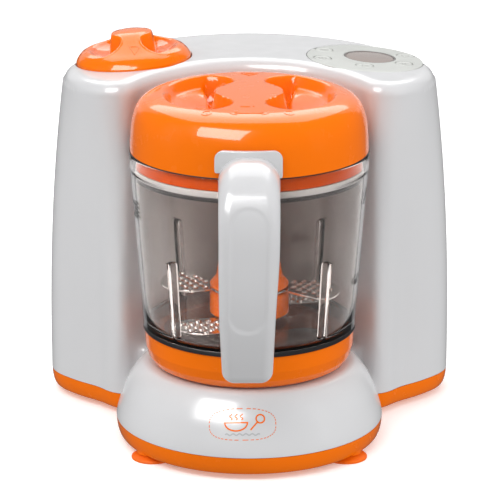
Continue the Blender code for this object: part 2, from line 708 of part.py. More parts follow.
# ---- drive -------------------------------------------------------------------------------------
def make_motor(motor_axis):
    """Motor in the right lobe, standing on a bracket, with its rotor and pulley."""
    can = [(26.0, 99.0), (26.0, 33.0), (24.0, 33.0), (24.0, 97.0), (3.0, 97.0), (3.0, 99.0)]
    turned("motor_can", can, "steel", motor_axis, steps=20)
    end = [(26.0, 32.7), (26.0, 30.3), (3.0, 30.3), (3.0, 32.7)]
    turned("motor_endcap", end, "black_plastic", motor_axis, steps=20)
    bracket = prism("motor_bracket", [circle(31.0, 20), circle(13.0, 12)], 27.0, 30.0,
                    "aluminium", motor_axis)
    towards = math.atan2(-MOTOR_XY[1], -MOTOR_XY[0])
    for i, turn in enumerate((180.0, 70.0, -70.0)):
        angle = towards + math.radians(turn)
        spot = (27.0 * math.cos(angle), 27.0 * math.sin(angle), 0)
        join(bracket, cylinder(f"bracket_leg_{i}", 3.5, TRAY_FLOOR_Z + GAP, 28.0, None,
                               motor_axis, spot, 8))
    armature = [(20.0, 88.0), (20.0, 40.0), (2.8, 40.0), (2.8, 88.0)]
    turned("motor_armature", armature, "steel", motor_axis, steps=16)
    cylinder("motor_shaft", 2.5, 12.0, 98.5, "steel", motor_axis, steps=12)
    turned("motor_pulley", pulley_profile(MOTOR_PULLEY_R, 2.8), "black_plastic", motor_axis, steps=14)


def pulley_profile(groove, bore):
    """Pulley with a flange each side of the belt's groove."""
    flange = groove + 2.2
    return [(flange, PULLEY_HIGH), (flange, BELT_HIGH + 0.6), (groove, BELT_HIGH + 0.4),
            (groove, BELT_LOW - 0.4), (flange, BELT_LOW - 0.6), (flange, PULLEY_LOW),
            (bore, PULLEY_LOW), (bore, PULLEY_HIGH)]


def belt_loop(extra):
    """Outline of the belt round both pulleys, extra outside their grooves."""
    big, small = DRIVE_PULLEY_R + extra, MOTOR_PULLEY_R + extra
    apart = math.hypot(*MOTOR_XY)
    facing = math.atan2(MOTOR_XY[1], MOTOR_XY[0])
    spread = math.acos((big - small) / apart)
    points = []
    for i in range(17):
        angle = facing + spread + (2 * math.pi - 2 * spread) * i / 16
        points.append((big * math.cos(angle), big * math.sin(angle)))
    for i in range(9):
        angle = facing - spread + 2 * spread * i / 8
        points.append((MOTOR_XY[0] + small * math.cos(angle),
                       MOTOR_XY[1] + small * math.sin(angle)))
    return points


def make_drive(root):
    """Belt, driven pulley, spindle and the coupling on top of the plinth."""
    prism("drive_belt", [belt_loop(GAP + BELT_THICKNESS), belt_loop(GAP)], BELT_LOW, BELT_HIGH,
          "black_rubber", root)
    turned("drive_pulley", pulley_profile(DRIVE_PULLEY_R, 4.3), "black_plastic", root, steps=24)
    cylinder("drive_spindle", 4.0, 10.0, 52.0, "steel", root, steps=16)
    bearing = [(8.0, 45.6), (8.0, 26.5), (4.2, 26.5), (4.2, 45.6)]
    turned("spindle_bearing", bearing, "steel", root, steps=16)
    coupling = cylinder("drive_coupling", 9.5, 46.6, 56.5, "orange_gloss", root, steps=6)
    join(coupling, cylinder("coupling_flange", 12.0, 46.6, 48.6, None, root, steps=24))
    cut(coupling, cylinder("coupling_bore", 4.3, 40.0, 52.4, None, root, steps=16))


# ---- jar ---------------------------------------------------------------------------------------


def make_bowl(root):
    """Clear bowl: spout-less rim, floor with a spindle boss, four inner ribs and the handle lug."""
    bowl = turned("jar_bowl", BOWL_OUTSIDE + BOWL_BOTTOM + BOWL_INSIDE, "smoke_clear", root,
                  steps=32)
    for i in range(4):
        rib = block(f"bowl_rib_{i}", (0, -1.9, RIB_LOW_Z), (5.8, 1.9, RIB_HIGH_Z), None, root)
        for corner in rib.data.vertices:
            up = (corner.co.z / MM - RIB_LOW_Z) / (RIB_HIGH_Z - RIB_LOW_Z)
            corner.co.x += (53.0 + 3.0 * up) * MM
        rib.rotation_euler = (0, 0, math.radians(45 + 90 * i))
        join(bowl, rib)
    lug = block("handle_lug", (-7.0, -78.0, 160.2), (7.0, -65.8, 166.8), None, root)
    join(bowl, lug)
    cut(bowl, cylinder("lug_bore", 2.0, 150.0, 165.5, None, root, (0, HANDLE_SCREW_Y, 0), 12))
    return bowl


def make_jar_base(root):
    """Collar, gasket and spindle bush under the bowl."""
    collar = [(59.1, COLLAR_TOP_Z), (58.9, 57.0), (57.4, 51.5), (55.4, 48.2),
              (52.6, COLLAR_BOTTOM_Z), (50.2, COLLAR_BOTTOM_Z), (50.2, 60.6), (57.8, 60.6),
              (57.8, COLLAR_TOP_Z)]
    turned("jar_collar", collar, "orange_gloss", root, steps=32)
    gasket = [(60.0, 68.9), (60.0, 66.3), (57.8, 66.3), (57.8, 68.9)]
    turned("collar_gasket", gasket, "black_rubber", root, steps=32)
    bush = [(7.7, 77.6), (7.7, 62.4), (4.2, 62.4), (4.2, 77.6)]
    turned("spindle_bush", bush, "steel", root, steps=16)


def make_blades(root):
    """Spindle, drive socket, hub and the two blades that spin in the bowl."""
    cylinder("blade_spindle", 4.0, 57.8, 116.0, "steel", root, steps=16)
    socket = turned("drive_socket",
                    [(13.5, 61.4), (13.5, 49.0), (4.3, 49.0), (4.3, 61.4)], "black_plastic",
                    root, steps=20)
    cut(socket, cylinder("socket_hex", 10.0, 46.0, 57.2, None, root, steps=6))
    hub = [(0, 142.0), (10.0, 141.0), (14.6, 136.5), (16.5, 88.0), (21.8, 87.4), (22.5, 85.0),
           (22.5, 75.0), (20.5, 75.0), (20.5, 83.0), (14.2, 88.0), (12.6, 134.0), (7.0, 136.0),
           (7.0, 86.0), (4.3, 86.0), (4.3, 118.0), (0, 118.0)]
    turned("blade_hub", hub, "orange_gloss", root, steps=20)
    prism("blade_upper", [blade_outline(), circle(17.2, 16)], 88.4, 89.6, "steel", root)
    lower = prism("blade_lower", [blade_outline(), circle(13.5, 16)], 73.0, 74.2, "steel", root)
    lower.rotation_euler = (0, 0, math.radians(-122))


def blade_outline():
    """Two swept wings, half a turn apart, on a ring."""
    wing = spline_through(WING, 1)
    ring = math.hypot(*wing[0])
    start = math.atan2(wing[-1][1], wing[-1][0])
    end = math.atan2(-wing[0][1], -wing[0][0])
    points = []
    for sign in (1, -1):
        points += [(sign * x, sign * y) for x, y in wing]
        for i in range(1, RING_STEPS):
            angle = start + (end - start - 2 * math.pi * (end > start)) * i / RING_STEPS
            points.append((sign * ring * math.cos(angle), sign * ring * math.sin(angle)))
    return points


# ---- handle ------------------------------------------------------------------------------------
def handle_section(front, back, half, inset, shorten=0.0):
    """Rounded section of the handle between its front and back faces, in the plane through X."""
    front, back = Vector(front), Vector(back)
    depth = (back - front).length
    along = (back - front) / depth
    top, bottom, side = inset, depth - inset - shorten, half - inset
    corner = min(6.5, side * 0.75) - inset
    outline = []
    for centre, start in ((corner + top, 180), (corner + top, 270)):
        for step in range(4):
            angle = math.radians(start + 90 * step / 3)
            x = (side - corner) * (-1 if start == 180 else 1) + corner * math.cos(angle)
            outline.append((x, centre + corner * math.sin(angle)))
    outline += [(side, bottom - 1.2), (side - 1.2, bottom), (-side + 1.2, bottom),
                (-side, bottom - 1.2)]
    return [(x, *(front + along * s)) for x, s in outline]


def handle_loft(name, inset, start, end, finish, root, shorten=0.0):
    """Loft of the handle's sections, moved inwards by inset."""
    rings = []
    for i, (front, back, half) in enumerate(HANDLE_STATIONS[start:end]):
        ring = handle_section(front, back, half, inset, shorten)
        if i + start == 0 and inset:
            ring = [(x, HANDLE_ROOM_Y, z) for x, y, z in ring]
        rings.append(ring)
    return loft(name, rings, finish, root)


def make_handle(root):
    """Hollow handle, its cover on the finger side, the plate over the lid and its screw."""
    shell = handle_loft("handle_shell", 0.0, 0, None, "white_gloss", root)
    plate = [(-19, 185.4, 5), (18.2, 185.4, 5), (18.2, 170.0, 1.2), (0.0, 170.0, 0),
             (0.0, 173.0, 0), (-19, 173.0, 1.2)]
    join(shell, bent_plate("handle_plate", rounded(plate), 67.1, 69.5, root))
    room = handle_loft("handle_room", HANDLE_WALL, 0, -1, None, root)
    lug_window = block("lug_window", (-7.6, -73.0, 159.6), (7.6, -62.0, 167.4), None, root)
    join(room, lug_window, cover_band("handle_window", -3.0, 3.0, 2.6, root))
    cut(shell, room)
    cut(shell, cylinder("handle_screw_hole", 2.1, 150.0, 162.0, None, root,
                        (0, HANDLE_SCREW_Y, 0), 12))
    cover = cover_band("handle_cover", GAP, 2.4, 3.0, root, "white_gloss")
    shade(cover)
    screw = [(0, 165.2), (1.7, 165.2), (1.7, 155.7), (3.6, 155.7), (3.6, 153.6), (0, 153.6)]
    turned("handle_screw", screw, "steel", root, (0, HANDLE_SCREW_Y, 0), 12)


def cover_band(name, low, high, margin, root, finish=None):
    """A band along the finger side of the handle, between two depths inside its back face."""
    stations = [(Vector(f), Vector(b), half) for f, b, half in HANDLE_STATIONS[4:11]]
    for end, beyond in ((0, 1), (-1, -2)):
        stations[end] = tuple(a + (b - a) * 0.15 for a, b in zip(stations[end], stations[beyond]))
    rings = []
    for front, back, half in stations:
        along = (front - back).normalized()
        outer, inner = back + along * low, back + along * high
        side = half - margin - 1.4
        rings.append([(-side, *outer), (side, *outer), (side, *inner), (-side, *inner)])
    return loft(name, rings, finish, root)


def rounded(corners):
    """Outline with each (x, y, radius) corner rounded by an arc."""
    points = []
    count = len(corners)
    for i, (x, y, radius) in enumerate(corners):
        here = Vector((x, y))
        if not radius:
            points.append((x, y))
            continue
        before = (Vector(corners[i - 1][:2]) - here).normalized()
        after = (Vector(corners[(i + 1) % count][:2]) - here).normalized()
        centre = here + (before + after) * radius
        start, end = here + before * radius - centre, here + after * radius - centre
        for step in range(4):
            turned_by = start.slerp(end, step / 3)
            points.append(tuple(centre + turned_by))
    return points


def bent_plate(name, outline, inner, outer, root):
    """A shell round the jar's axis, trimmed to a flat outline of (x, z) points."""
    plate = prism(name, [sector(inner, outer, -110, -70, 12)], 160.0, 190.0, None, root)
    trim = loft(f"{name}_trim", [[(x, y, z) for x, z in outline] for y in (-50.0, -80.0)], None, root)
    boolean(plate, trim, "INTERSECT")
    return plate


# ---- lid and cap -------------------------------------------------------------------------------


def lid_profile(inset):
    """Dome of the lid, or the room under it."""
    profile = [(0, LID_TOP_Z - inset)]
    for r, z in LID_OUTSIDE[1:]:
        share = min(1.0, max(0.0, (r - 44) / (LID_R - 44)))
        profile.append((r - inset * share ** 0.5, z - inset * (1 - share)))
    low = LID_BASE_Z - (4.0 if inset else 0.0)
    if inset:
        profile.append((LID_R - inset, low))
    profile.append((0, low))
    return profile


def make_lid(root):
    """Domed lid with two finger scoops round a central grip, its plug and its seal."""
    lid = turned("lid_dome", lid_profile(0.0), "orange_gloss", root, steps=36)
    room = turned("lid_room", lid_profile(LID_WALL), None, root, steps=28)
    for side, label in ((-1, "left"), (1, "right")):
        cut(room, prism(f"scoop_wall_{label}", [scoop_outline(LID_SCOOP, side, 2.2)],
                        182.0, 210.0, None, root))
    cut(lid, room)
    for side, label in ((-1, "left"), (1, "right")):
        cut(lid, prism(f"scoop_cut_{label}", [scoop_outline(LID_SCOOP, side)], 184.4, 210.0,
                       None, root))
    inlet = cylinder("steam_inlet", 3.0, -80, -50, None, root, (0, 0, STEAM_Z), 14)
    inlet.rotation_euler = (math.radians(90), 0, 0)
    cut(lid, inlet)
    plug = [(63.2, 169.0), (63.9, 167.5), (63.9, 160.6), (60.8, 160.6), (60.8, 169.0)]
    turned("lid_plug", plug, "orange_gloss", root, steps=32)
    seal = [(63.9, 160.2), (64.0, 157.6), (61.0, 157.6), (61.0, 160.2)]
    turned("lid_seal", seal, "black_rubber", root, steps=32)


def make_cap(pod):
    """Tank cap: a low cone with two finger scoops round a raised grip, and its seal."""
    profile = [(0, 17.4), (10.0, 16.8), (17.0, 12.4), (30.0, 5.8), (CAP_R, 0.8), (CAP_R, -3.4),
               (22.4, -3.4), (22.4, -17.0), (20.0, -17.0), (20.0, -1.4), (11.0, -1.4),
               (4.5, 12.5), (0, 13.5)]
    cap = turned("tank_cap", profile, "orange_gloss", pod, steps=32)
    for side, label in ((-1, "left"), (1, "right")):
        cut(cap, prism(f"cap_scoop_{label}", [scoop_outline(CAP_SCOOP, side)], 1.4, 30.0,
                       None, pod))
    seal = [(24.0, -9.4), (24.0, -12.0), (22.7, -12.0), (22.7, -9.4)]
    turned("cap_seal", seal, "black_rubber", pod, steps=20)


# ---- control panel -----------------------------------------------------------------------------
def make_panel(pod, root):
    """Fascia, display, buttons and the boards under them."""
    holes = [circle(DISPLAY_R + GAP, 20, DISPLAY_XY)]
    holes += [circle(5.4, 12, spot) for spot in BUTTONS.values()]
    prism("panel_fascia", [circle(PANEL_R, 32)] + holes, -1.6, -0.25, "panel_ivory", pod)
    cylinder("display_window", DISPLAY_R, -1.6, -0.35, "display_glass", pod, (*DISPLAY_XY, 0), 20)
    block("display_module", (-12, -12, -7.4), (12, 12, -2.0), "black_plastic", pod,
          (*DISPLAY_XY, 0))
    button = [(0, -0.15), (5.0, -0.3), (5.0, -2.1), (6.2, -2.1), (6.2, -3.3), (1.6, -3.3),
              (1.6, -10.2), (0, -10.2)]
    for name, spot in BUTTONS.items():
        turned(name, button, "panel_ivory", pod, (*spot, 0), 12)
    prism("control_board", [circle(29.5, 20)], -13.2, -11.6, "circuit_green", pod)
    block("power_board", (-32, 136.0, 50), (32, 137.6, 122), "circuit_green", root)
    grommet = [(5.9, -148.0), (5.9, -157.6), (3.2, -157.6), (3.2, -148.0)]
    made = turned("cord_grommet", grommet, "black_rubber", root, (0, 0, CORD_Z), 14)
    made.rotation_euler = (math.radians(90), 0, 0)


def main():
    """Build the appliance."""
    clear_scene()
    root = make_empty("appliance_frame", (0, JAR_AXIS_Y, 0))
    cap_pod = make_empty("cap_axis", (-POD_X, POD_Y, POD_Z), -TILT, root)
    panel_pod = make_empty("panel_axis", (POD_X, POD_Y, POD_Z), TILT, root)
    motor_axis = make_empty("motor_axis", (*MOTOR_XY, 0), 0.0, root)
    make_housing(root, cap_pod, panel_pod)
    make_tray(root)
    make_feet(root)
    make_tray_screws(root)
    make_water_side(root, cap_pod)
    make_motor(motor_axis)
    make_drive(root)
    make_bowl(root)
    make_jar_base(root)
    make_blades(root)
    make_handle(root)
    make_lid(root)
    make_cap(cap_pod)
    make_panel(panel_pod, root)


main()
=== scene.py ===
import json
import math

import bmesh
import bpy
from mathutils import Matrix, Vector
from mathutils.bvhtree import BVHTree


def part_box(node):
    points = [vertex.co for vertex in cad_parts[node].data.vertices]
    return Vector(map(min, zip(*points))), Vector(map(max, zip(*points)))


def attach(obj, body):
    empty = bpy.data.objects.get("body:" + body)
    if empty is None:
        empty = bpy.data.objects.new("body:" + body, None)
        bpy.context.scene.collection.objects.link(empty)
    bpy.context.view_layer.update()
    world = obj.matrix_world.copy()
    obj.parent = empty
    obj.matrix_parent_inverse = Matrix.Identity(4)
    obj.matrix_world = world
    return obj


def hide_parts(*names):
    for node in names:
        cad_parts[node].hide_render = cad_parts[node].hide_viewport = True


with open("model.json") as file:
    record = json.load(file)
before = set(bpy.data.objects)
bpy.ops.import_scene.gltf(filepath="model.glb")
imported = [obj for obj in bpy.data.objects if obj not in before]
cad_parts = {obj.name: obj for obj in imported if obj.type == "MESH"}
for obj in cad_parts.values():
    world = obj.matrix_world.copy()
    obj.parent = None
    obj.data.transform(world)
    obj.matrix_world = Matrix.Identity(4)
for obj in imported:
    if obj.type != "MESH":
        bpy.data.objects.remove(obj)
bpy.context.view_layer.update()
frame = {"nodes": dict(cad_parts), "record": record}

# Shapes are written in millimetres round the jar's axis (X = Y = 0, floor Z = 0, front -Y), and
# placed in the frame, which is in metres, by the spaces below.
MM = 0.001
JOINTS = {joint["name"]: joint for joint in frame["record"]["behaviour"]["joints"]}
JAR_FOOT = Vector(JOINTS["drive_spin"]["pos_m"])
CAP_CENTRE = Vector(JOINTS["cap_turn"]["pos_m"])
CAP_UP = Vector(JOINTS["cap_turn"]["axis"]).normalized()
TILT = math.atan2(-CAP_UP.x, CAP_UP.z)


def space_at(origin, tilt=0):
    """Matrix from millimetres in a local space to metres in the frame."""
    return Matrix.Translation(origin) @ Matrix.Rotation(tilt, 4, "Y") @ Matrix.Scale(MM, 4)


def moved(space, x, y, z=0):
    """The space with its origin at another of its points."""
    return space @ Matrix.Translation((x, y, z))


JAR_SPACE = space_at((JAR_FOOT.x, JAR_FOOT.y, 0))
CAP_SPACE = space_at(CAP_CENTRE, -TILT)
PANEL_SPACE = space_at((-CAP_CENTRE.x, CAP_CENTRE.y, CAP_CENTRE.z), TILT)
# Spaces whose Z axis points to the back, on the jar's axis.
STEAM_SPACE, CORD_SPACE = (
    moved(JAR_SPACE, 0, 0, z) @ Matrix.Rotation(-math.pi / 2, 4, "X") for z in (177, 30))

# ---- dimensions that the looks share with the solids ----
TOWER_TOP = 202
CROWN_FALL = 0.00053
TOWER_BASE_Z = 14
WALL = 2.6
SHOULDER_R = 7
PLINTH_R = 75.8
SEAT_Z = 46
CRADLE_FLOOR_Z = 39.5
TRAY_GAP = 0.3
TRAY_BOTTOM_Z = 3.4
LID_BASE_Z = 169.2
LID_TOP_Z = 202
BOWL_RIM_Z = 168.7

# Right half of the tower's outline at its bottom and at its top, as pairs of (x, y).
TOWER_KEYS = [
    ((0, 158), (0, 152)), ((37, 153.5), (35, 147.5)), ((73, 139.5), (68, 134.5)),
    ((101, 116), (93.5, 112.5)), ((115, 96), (105, 94)), ((118, 80), (107.3, 80)),
    ((114, 66), (104.8, 64.5)), ((102, 52), (97.5, 46.5)), ((89, 41), (87, 32.5)),
    ((80.5, 31.5), (76.5, 28)), ((72, 28.5), (67.5, 31)), ((62, 41), (59.5, 43.5)),
    ((50, 54.5), (48, 56)), ((34, 66), (33, 66.5)), ((17, 72.2), (17, 72.3)),
    ((0, 74.2), (0, 74.2)),
]
LEAN_FROM_Z, LEAN_TO_Z, LEAN_POWER = 25, 197, 2.2

# Rear right quarter of each finger scoop's outline, as (x, y).
LID_SCOOP = [(19.3, 0), (18.4, 7), (14.6, 14.5), (10.4, 20.5), (9.3, 26), (11.8, 32),
             (18.5, 37.5), (28, 37.8), (38.5, 29.5), (45.5, 16.5), (48, 0)]
CAP_SCOOP = [(12, 0), (11.6, 4.5), (9, 8.4), (6.2, 12), (6.8, 16.2), (10.8, 20.2),
             (17, 21.6), (24, 16.4), (28.1, 8.5), (29.2, 0)]

# Handle stations: front face y and z, y and z of the face towards the jar, half width, corner.
HANDLE_STATIONS = [
    (-67.3, 182, -67.3, 156, 16.6, 13.5),
    (-78, 182.6, -77, 156.2, 16.5, 12.5),
    (-87.5, 180.2, -83, 155, 16.4, 10.5),
    (-96.5, 174.5, -87, 152, 16.3, 8.5),
    (-103.3, 165.5, -90.5, 148.5, 16.3, 6.8),
    (-107, 152, -93.4, 142.5, 16.2, 5.6),
    (-108.1, 134, -95.2, 131, 16, 5.4),
    (-107.5, 115, -95.2, 115, 15.4, 5.6),
    (-104.5, 96, -92.9, 98, 14.8, 5.8),
    (-100, 80, -89.6, 83.5, 14.2, 5.8),
    (-95.6, 67.8, -86.4, 71.4, 13.7, 5.6),
]

BUTTONS = {
    "button_menu": (-23.5, 15.5),
    "button_steam": (-25, -6.5),
    "button_start": (-0.9, -18.5),
    "button_blend": (24.5, 14.5),
    "button_warm": (22.5, -6.5),
}
DISPLAY_XY = (3, 5)
DISPLAY_R = 15
FEET = ("foot_front_left", "foot_front_right", "foot_rear_left", "foot_rear_right")


# ---- mesh tools ----
def set_values(item, **values):
    """Set an item's attributes."""
    for key, value in values.items():
        setattr(item, key, value)
    return item


def add_object(name, data):
    """A new object in the scene."""
    made = bpy.data.objects.new(name, data)
    bpy.context.scene.collection.objects.link(made)
    return made


def make_object(name, verts, faces, space=JAR_SPACE, weld=0):
    """An object with vertices in a space's millimetres, merged where within weld metres."""
    mesh = bpy.data.meshes.new(name)
    mesh.from_pydata([tuple(space @ Vector(v)) for v in verts], [], faces)
    mesh.validate()
    edit = bmesh.new()
    edit.from_mesh(mesh)
    if weld:
        bmesh.ops.remove_doubles(edit, verts=edit.verts, dist=weld)
    bmesh.ops.recalc_face_normals(edit, faces=edit.faces)
    edit.to_mesh(mesh)
    edit.free()
    return add_object(name, mesh)


def smooth(made, angle=34):
    """Smooth shading that keeps the edges sharper than angle."""
    made.data.polygons.foreach_set("use_smooth", [True] * len(made.data.polygons))
    made.data.set_sharp_from_angle(angle=math.radians(angle))
    return made


def evaluated_mesh(made):
    """A new mesh of what the object shows."""
    graph = bpy.context.evaluated_depsgraph_get()
    return bpy.data.meshes.new_from_object(made.evaluated_get(graph))


def surface_tree(made):
    """What finds the nearest point and the hits on an object's surface."""
    return BVHTree.FromObject(made, bpy.context.evaluated_depsgraph_get())


def modify(made, kind, **values):
    """Add a modifier."""
    set_values(made.modifiers.new(kind.lower(), kind), **values)


def bake(made):
    """Apply the modifiers."""
    old, mesh = made.data, evaluated_mesh(made)
    made.modifiers.clear()
    made.data = mesh
    bpy.data.meshes.remove(old)


def combine(target, others, operation):
    """Join or cut solids, and remove the others."""
    for other in others:
        modify(target, "BOOLEAN", object=other, operation=operation, solver="MANIFOLD")
        bake(target)
        bpy.data.objects.remove(other)
    return target


def rounded(corners, steps=5):
    """Outline with each (x, y, radius) corner rounded."""
    points = []
    for i, (x, y, radius) in enumerate(corners):
        if not radius:
            points.append((x, y))
            continue
        corner = Vector((x, y))
        to_before = Vector(corners[i - 1][:2]) - corner
        to_after = Vector(corners[(i + 1) % len(corners)][:2]) - corner
        reach = min(radius / math.tan(to_before.angle(to_after) / 2),
                    0.49 * to_before.length, 0.49 * to_after.length)
        start = corner + to_before.normalized() * reach
        end = corner + to_after.normalized() * reach
        for t in (step / steps for step in range(steps + 1)):
            points.append(tuple(start * (1 - t) ** 2 + corner * 2 * t * (1 - t) + end * t * t))
    return points


def circle(radius, steps, centre=(0, 0)):
    """Points of a circle."""
    return [(centre[0] + radius * math.cos(2 * math.pi * i / steps),
             centre[1] + radius * math.sin(2 * math.pi * i / steps)) for i in range(steps)]


def arc(centre, radius, start, end, steps=14, squash=1):
    """Points of an arc between two angles in degrees."""
    angles = [math.radians(start + (end - start) * i / steps) for i in range(steps + 1)]
    return [(centre[0] + radius * math.cos(a), centre[1] + squash * radius * math.sin(a))
            for a in angles]


def stacked(rings):
    """Verts and faces of a closed skin over rings; a ring of no radius becomes one point."""
    verts, rows, faces = [], [], []
    steps = len(rings[0])
    for ring in rings:
        if math.hypot(*ring[0][:2]) < 1e-6:
            rows.append([len(verts)] * steps)
            verts.append(ring[0])
        else:
            rows.append(list(range(len(verts), len(verts) + steps)))
            verts += ring
    for low, high in zip(rows, rows[1:] + rows[:1]):
        for i in range(steps):
            j = (i + 1) % steps
            face = list(dict.fromkeys((low[i], low[j], high[j], high[i])))
            if len(face) > 2:
                faces.append(face)
    return verts, faces


def turned(name, profile, space=JAR_SPACE, steps=160):
    """A closed profile of (radius, z) points turned round the space's Z axis."""
    rings = [[(x, y, z) for x, y in circle(r, steps)] for r, z in profile]
    return smooth(make_object(name, *stacked(rings), space))


def rod(name, radius, low, high, space=JAR_SPACE, steps=64):
    """A round rod on a space's axis, to join to a piece or cut from it."""
    return turned(name, [(0, low), (radius, low), (radius, high), (0, high)], space, steps)


def loft(name, rings, space=JAR_SPACE, caps=None):
    """A skin over rings of points, closed at each end by one face or by the faces of caps."""
    count = len(rings[0])
    top = (len(rings) - 1) * count
    faces = []
    for k in range(0, top, count):
        for i in range(count):
            j = (i + 1) % count
            faces.append((k + i, k + j, k + count + j, k + count + i))
    ends = caps(count) if caps else [tuple(range(count))]
    faces += [tuple(reversed(face)) for face in ends]
    faces += [tuple(top + i for i in face) for face in ends]
    return make_object(name, [point for ring in rings for point in ring], faces, space)


def prism(name, outline, low, high, space=JAR_SPACE):
    """An outline of (x, y) points as a solid between two heights."""
    return loft(name, [[(x, y, z) for x, y in outline] for z in (low, high)], space)


def post(name, radius, spot, low, high, steps=32, space=JAR_SPACE):
    """A round prism at a spot, to join to a piece or cut from it."""
    return prism(name, circle(radius, steps, spot), low, high, space)


def spline_through(keys, per_span, closed=False):
    """Points of a Catmull-Rom curve through the keys."""
    count = len(keys)
    points = []
    for i in range(count if closed else count - 1):
        around = [keys[(i + k) % count] if closed else keys[min(max(i + k, 0), count - 1)]
                  for k in (-1, 0, 1, 2)]
        for t in (step / per_span for step in range(per_span)):
            points.append(tuple(0.5 * (2 * b + (c - a) * t + (2 * a - 5 * b + 4 * c - d) * t ** 2
                                       + (3 * b - a - 3 * c + d) * t ** 3)
                                for a, b, c, d in zip(*around)))
    if not closed:
        points.append(tuple(keys[-1]))
    return points


def blend_value(edge0, edge1, x):
    """Smooth step from 0 at edge0 to 1 at edge1."""
    t = min(max((x - edge0) / (edge1 - edge0), 0), 1)
    return t * t * (3 - 2 * t)


def quarter_turn(steps):
    """Sine, and 1 less the cosine, along a quarter turn."""
    angles = [math.pi / 2 * i / steps for i in range(steps + 1)]
    return [(math.sin(angle), 1 - math.cos(angle)) for angle in angles]


def round_off(radius, near):
    """How far an edge of a radius has rounded away at a distance from its end."""
    return radius - math.sqrt(max(radius ** 2 - max(radius - near, 0) ** 2, 0))


def signed_distance(point, outline):
    """Distance of a point from a closed outline, positive inside."""
    x, y = point
    best = math.inf
    inside = False
    for (ax, ay), (bx, by) in zip(outline, outline[1:] + outline[:1]):
        dx, dy = bx - ax, by - ay
        t = ((x - ax) * dx + (y - ay) * dy) / (dx * dx + dy * dy)
        t = min(max(t, 0), 1)
        best = min(best, (ax + t * dx - x) ** 2 + (ay + t * dy - y) ** 2)
        if (ay > y) != (by > y) and x < ax + (y - ay) / dy * dx:
            inside = not inside
    return math.sqrt(best) * (1 if inside else -1)


# ---- materials ----
def set_inputs(node, **values):
    """Set a node's inputs, named with _ for a space."""
    for key, value in values.items():
        node.inputs[key.replace("_", " ")].default_value = value


def colour_ramp(tree, value, stops):
    """The colour at a value, from (value, colour) stops."""
    ramp = tree.nodes.new("ShaderNodeValToRGB")
    elements = ramp.color_ramp.elements
    while len(elements) < len(stops):
        elements.new(0.5)
    for element, (place, colour) in zip(elements, stops):
        element.position = place
        element.color = (*colour, 1)
    tree.links.new(value, ramp.inputs["Fac"])
    return ramp.outputs["Color"]


def add_node(tree, kind, source=None, socket="Vector", **inputs):
    """A node with its inputs set, and a source linked to one of its sockets."""
    node = tree.nodes.new(kind)
    set_inputs(node, **inputs)
    if source is not None:
        tree.links.new(source, node.inputs[socket])
    return node


class Look:
    """A procedural material, with short-hand for building its nodes."""

    def __init__(self, name, **inputs):
        self.material = bpy.data.materials.new(name)
        self.material.use_nodes = True
        self.tree = self.material.node_tree
        self.shader = self.tree.nodes["Principled BSDF"]
        self.coords = self.add("ShaderNodeTexCoord").outputs["Object"]
        set_inputs(self.shader, **inputs)

    def add(self, *args, **inputs):
        """A node in this material."""
        return add_node(self.tree, *args, **inputs)

    def feed(self, output, socket="Base Color"):
        """Link an output to the shader."""
        self.tree.links.new(output, self.shader.inputs[socket])

    def noise(self, scale, detail=3, stretch=None):
        """Noise in the object's own coordinates, at a scale per metre."""
        source = self.coords
        if stretch:
            source = self.add("ShaderNodeMapping", source, Scale=stretch).outputs["Vector"]
        return self.add("ShaderNodeTexNoise", source, Scale=scale, Detail=detail).outputs["Fac"]

    def ramp(self, value, *stops):
        """The colour at a value."""
        return colour_ramp(self.tree, value, stops)

    def roughness(self, value, low, high):
        """Roughness between two limits from a noise."""
        spread = self.add("ShaderNodeMapRange", value, "Value", From_Min=0.3, From_Max=0.7,
                          To_Min=low, To_Max=high)
        self.feed(spread.outputs["Result"], "Roughness")

    def bump(self, value, strength, distance):
        """Bump from a value, on top of any earlier bump."""
        node = self.add("ShaderNodeBump", value, "Height", Strength=strength, Distance=distance)
        old = self.shader.inputs["Normal"].links
        if old:
            self.tree.links.new(old[0].from_socket, node.inputs["Normal"])
        self.feed(node.outputs["Normal"], "Normal")


def shifted(colour, amount):
    """The colour made lighter or darker."""
    return tuple(min(max(c * (1 + amount), 0), 1) for c in colour)


def moulded(name, colour, rough, coat=0, grain=0, drift=0.03, specular=0.5):
    """Moulded plastic or rubber: slow colour drift, fine grain, faint wear in the gloss."""
    look = Look(name, Coat_Weight=coat, Coat_Roughness=0.03, Specular_IOR_Level=specular)
    look.feed(look.ramp(look.noise(14, 4), (0.35, shifted(colour, -drift)),
                        (0.65, shifted(colour, drift))))
    look.roughness(look.noise(90, 5), rough * 0.85, rough * 1.2)
    look.bump(look.noise(45, 2), 0.05, 0.0004)
    if grain:
        look.bump(look.noise(2600, 2), grain, 0.00005)
    return look.material


def metal(name, colour, rough, stretch=(1, 1, 30), depth=0.12):
    """Brushed or machined metal, with streaks along one direction."""
    look = Look(name, Metallic=1)
    look.feed(look.ramp(look.noise(60, 4), (0.3, shifted(colour, -0.12)),
                        (0.7, shifted(colour, 0.08))))
    streaks = look.noise(220, 6, stretch)
    look.roughness(streaks, rough * 0.7, rough * 1.4)
    look.bump(streaks, depth, 0.00004)
    return look.material


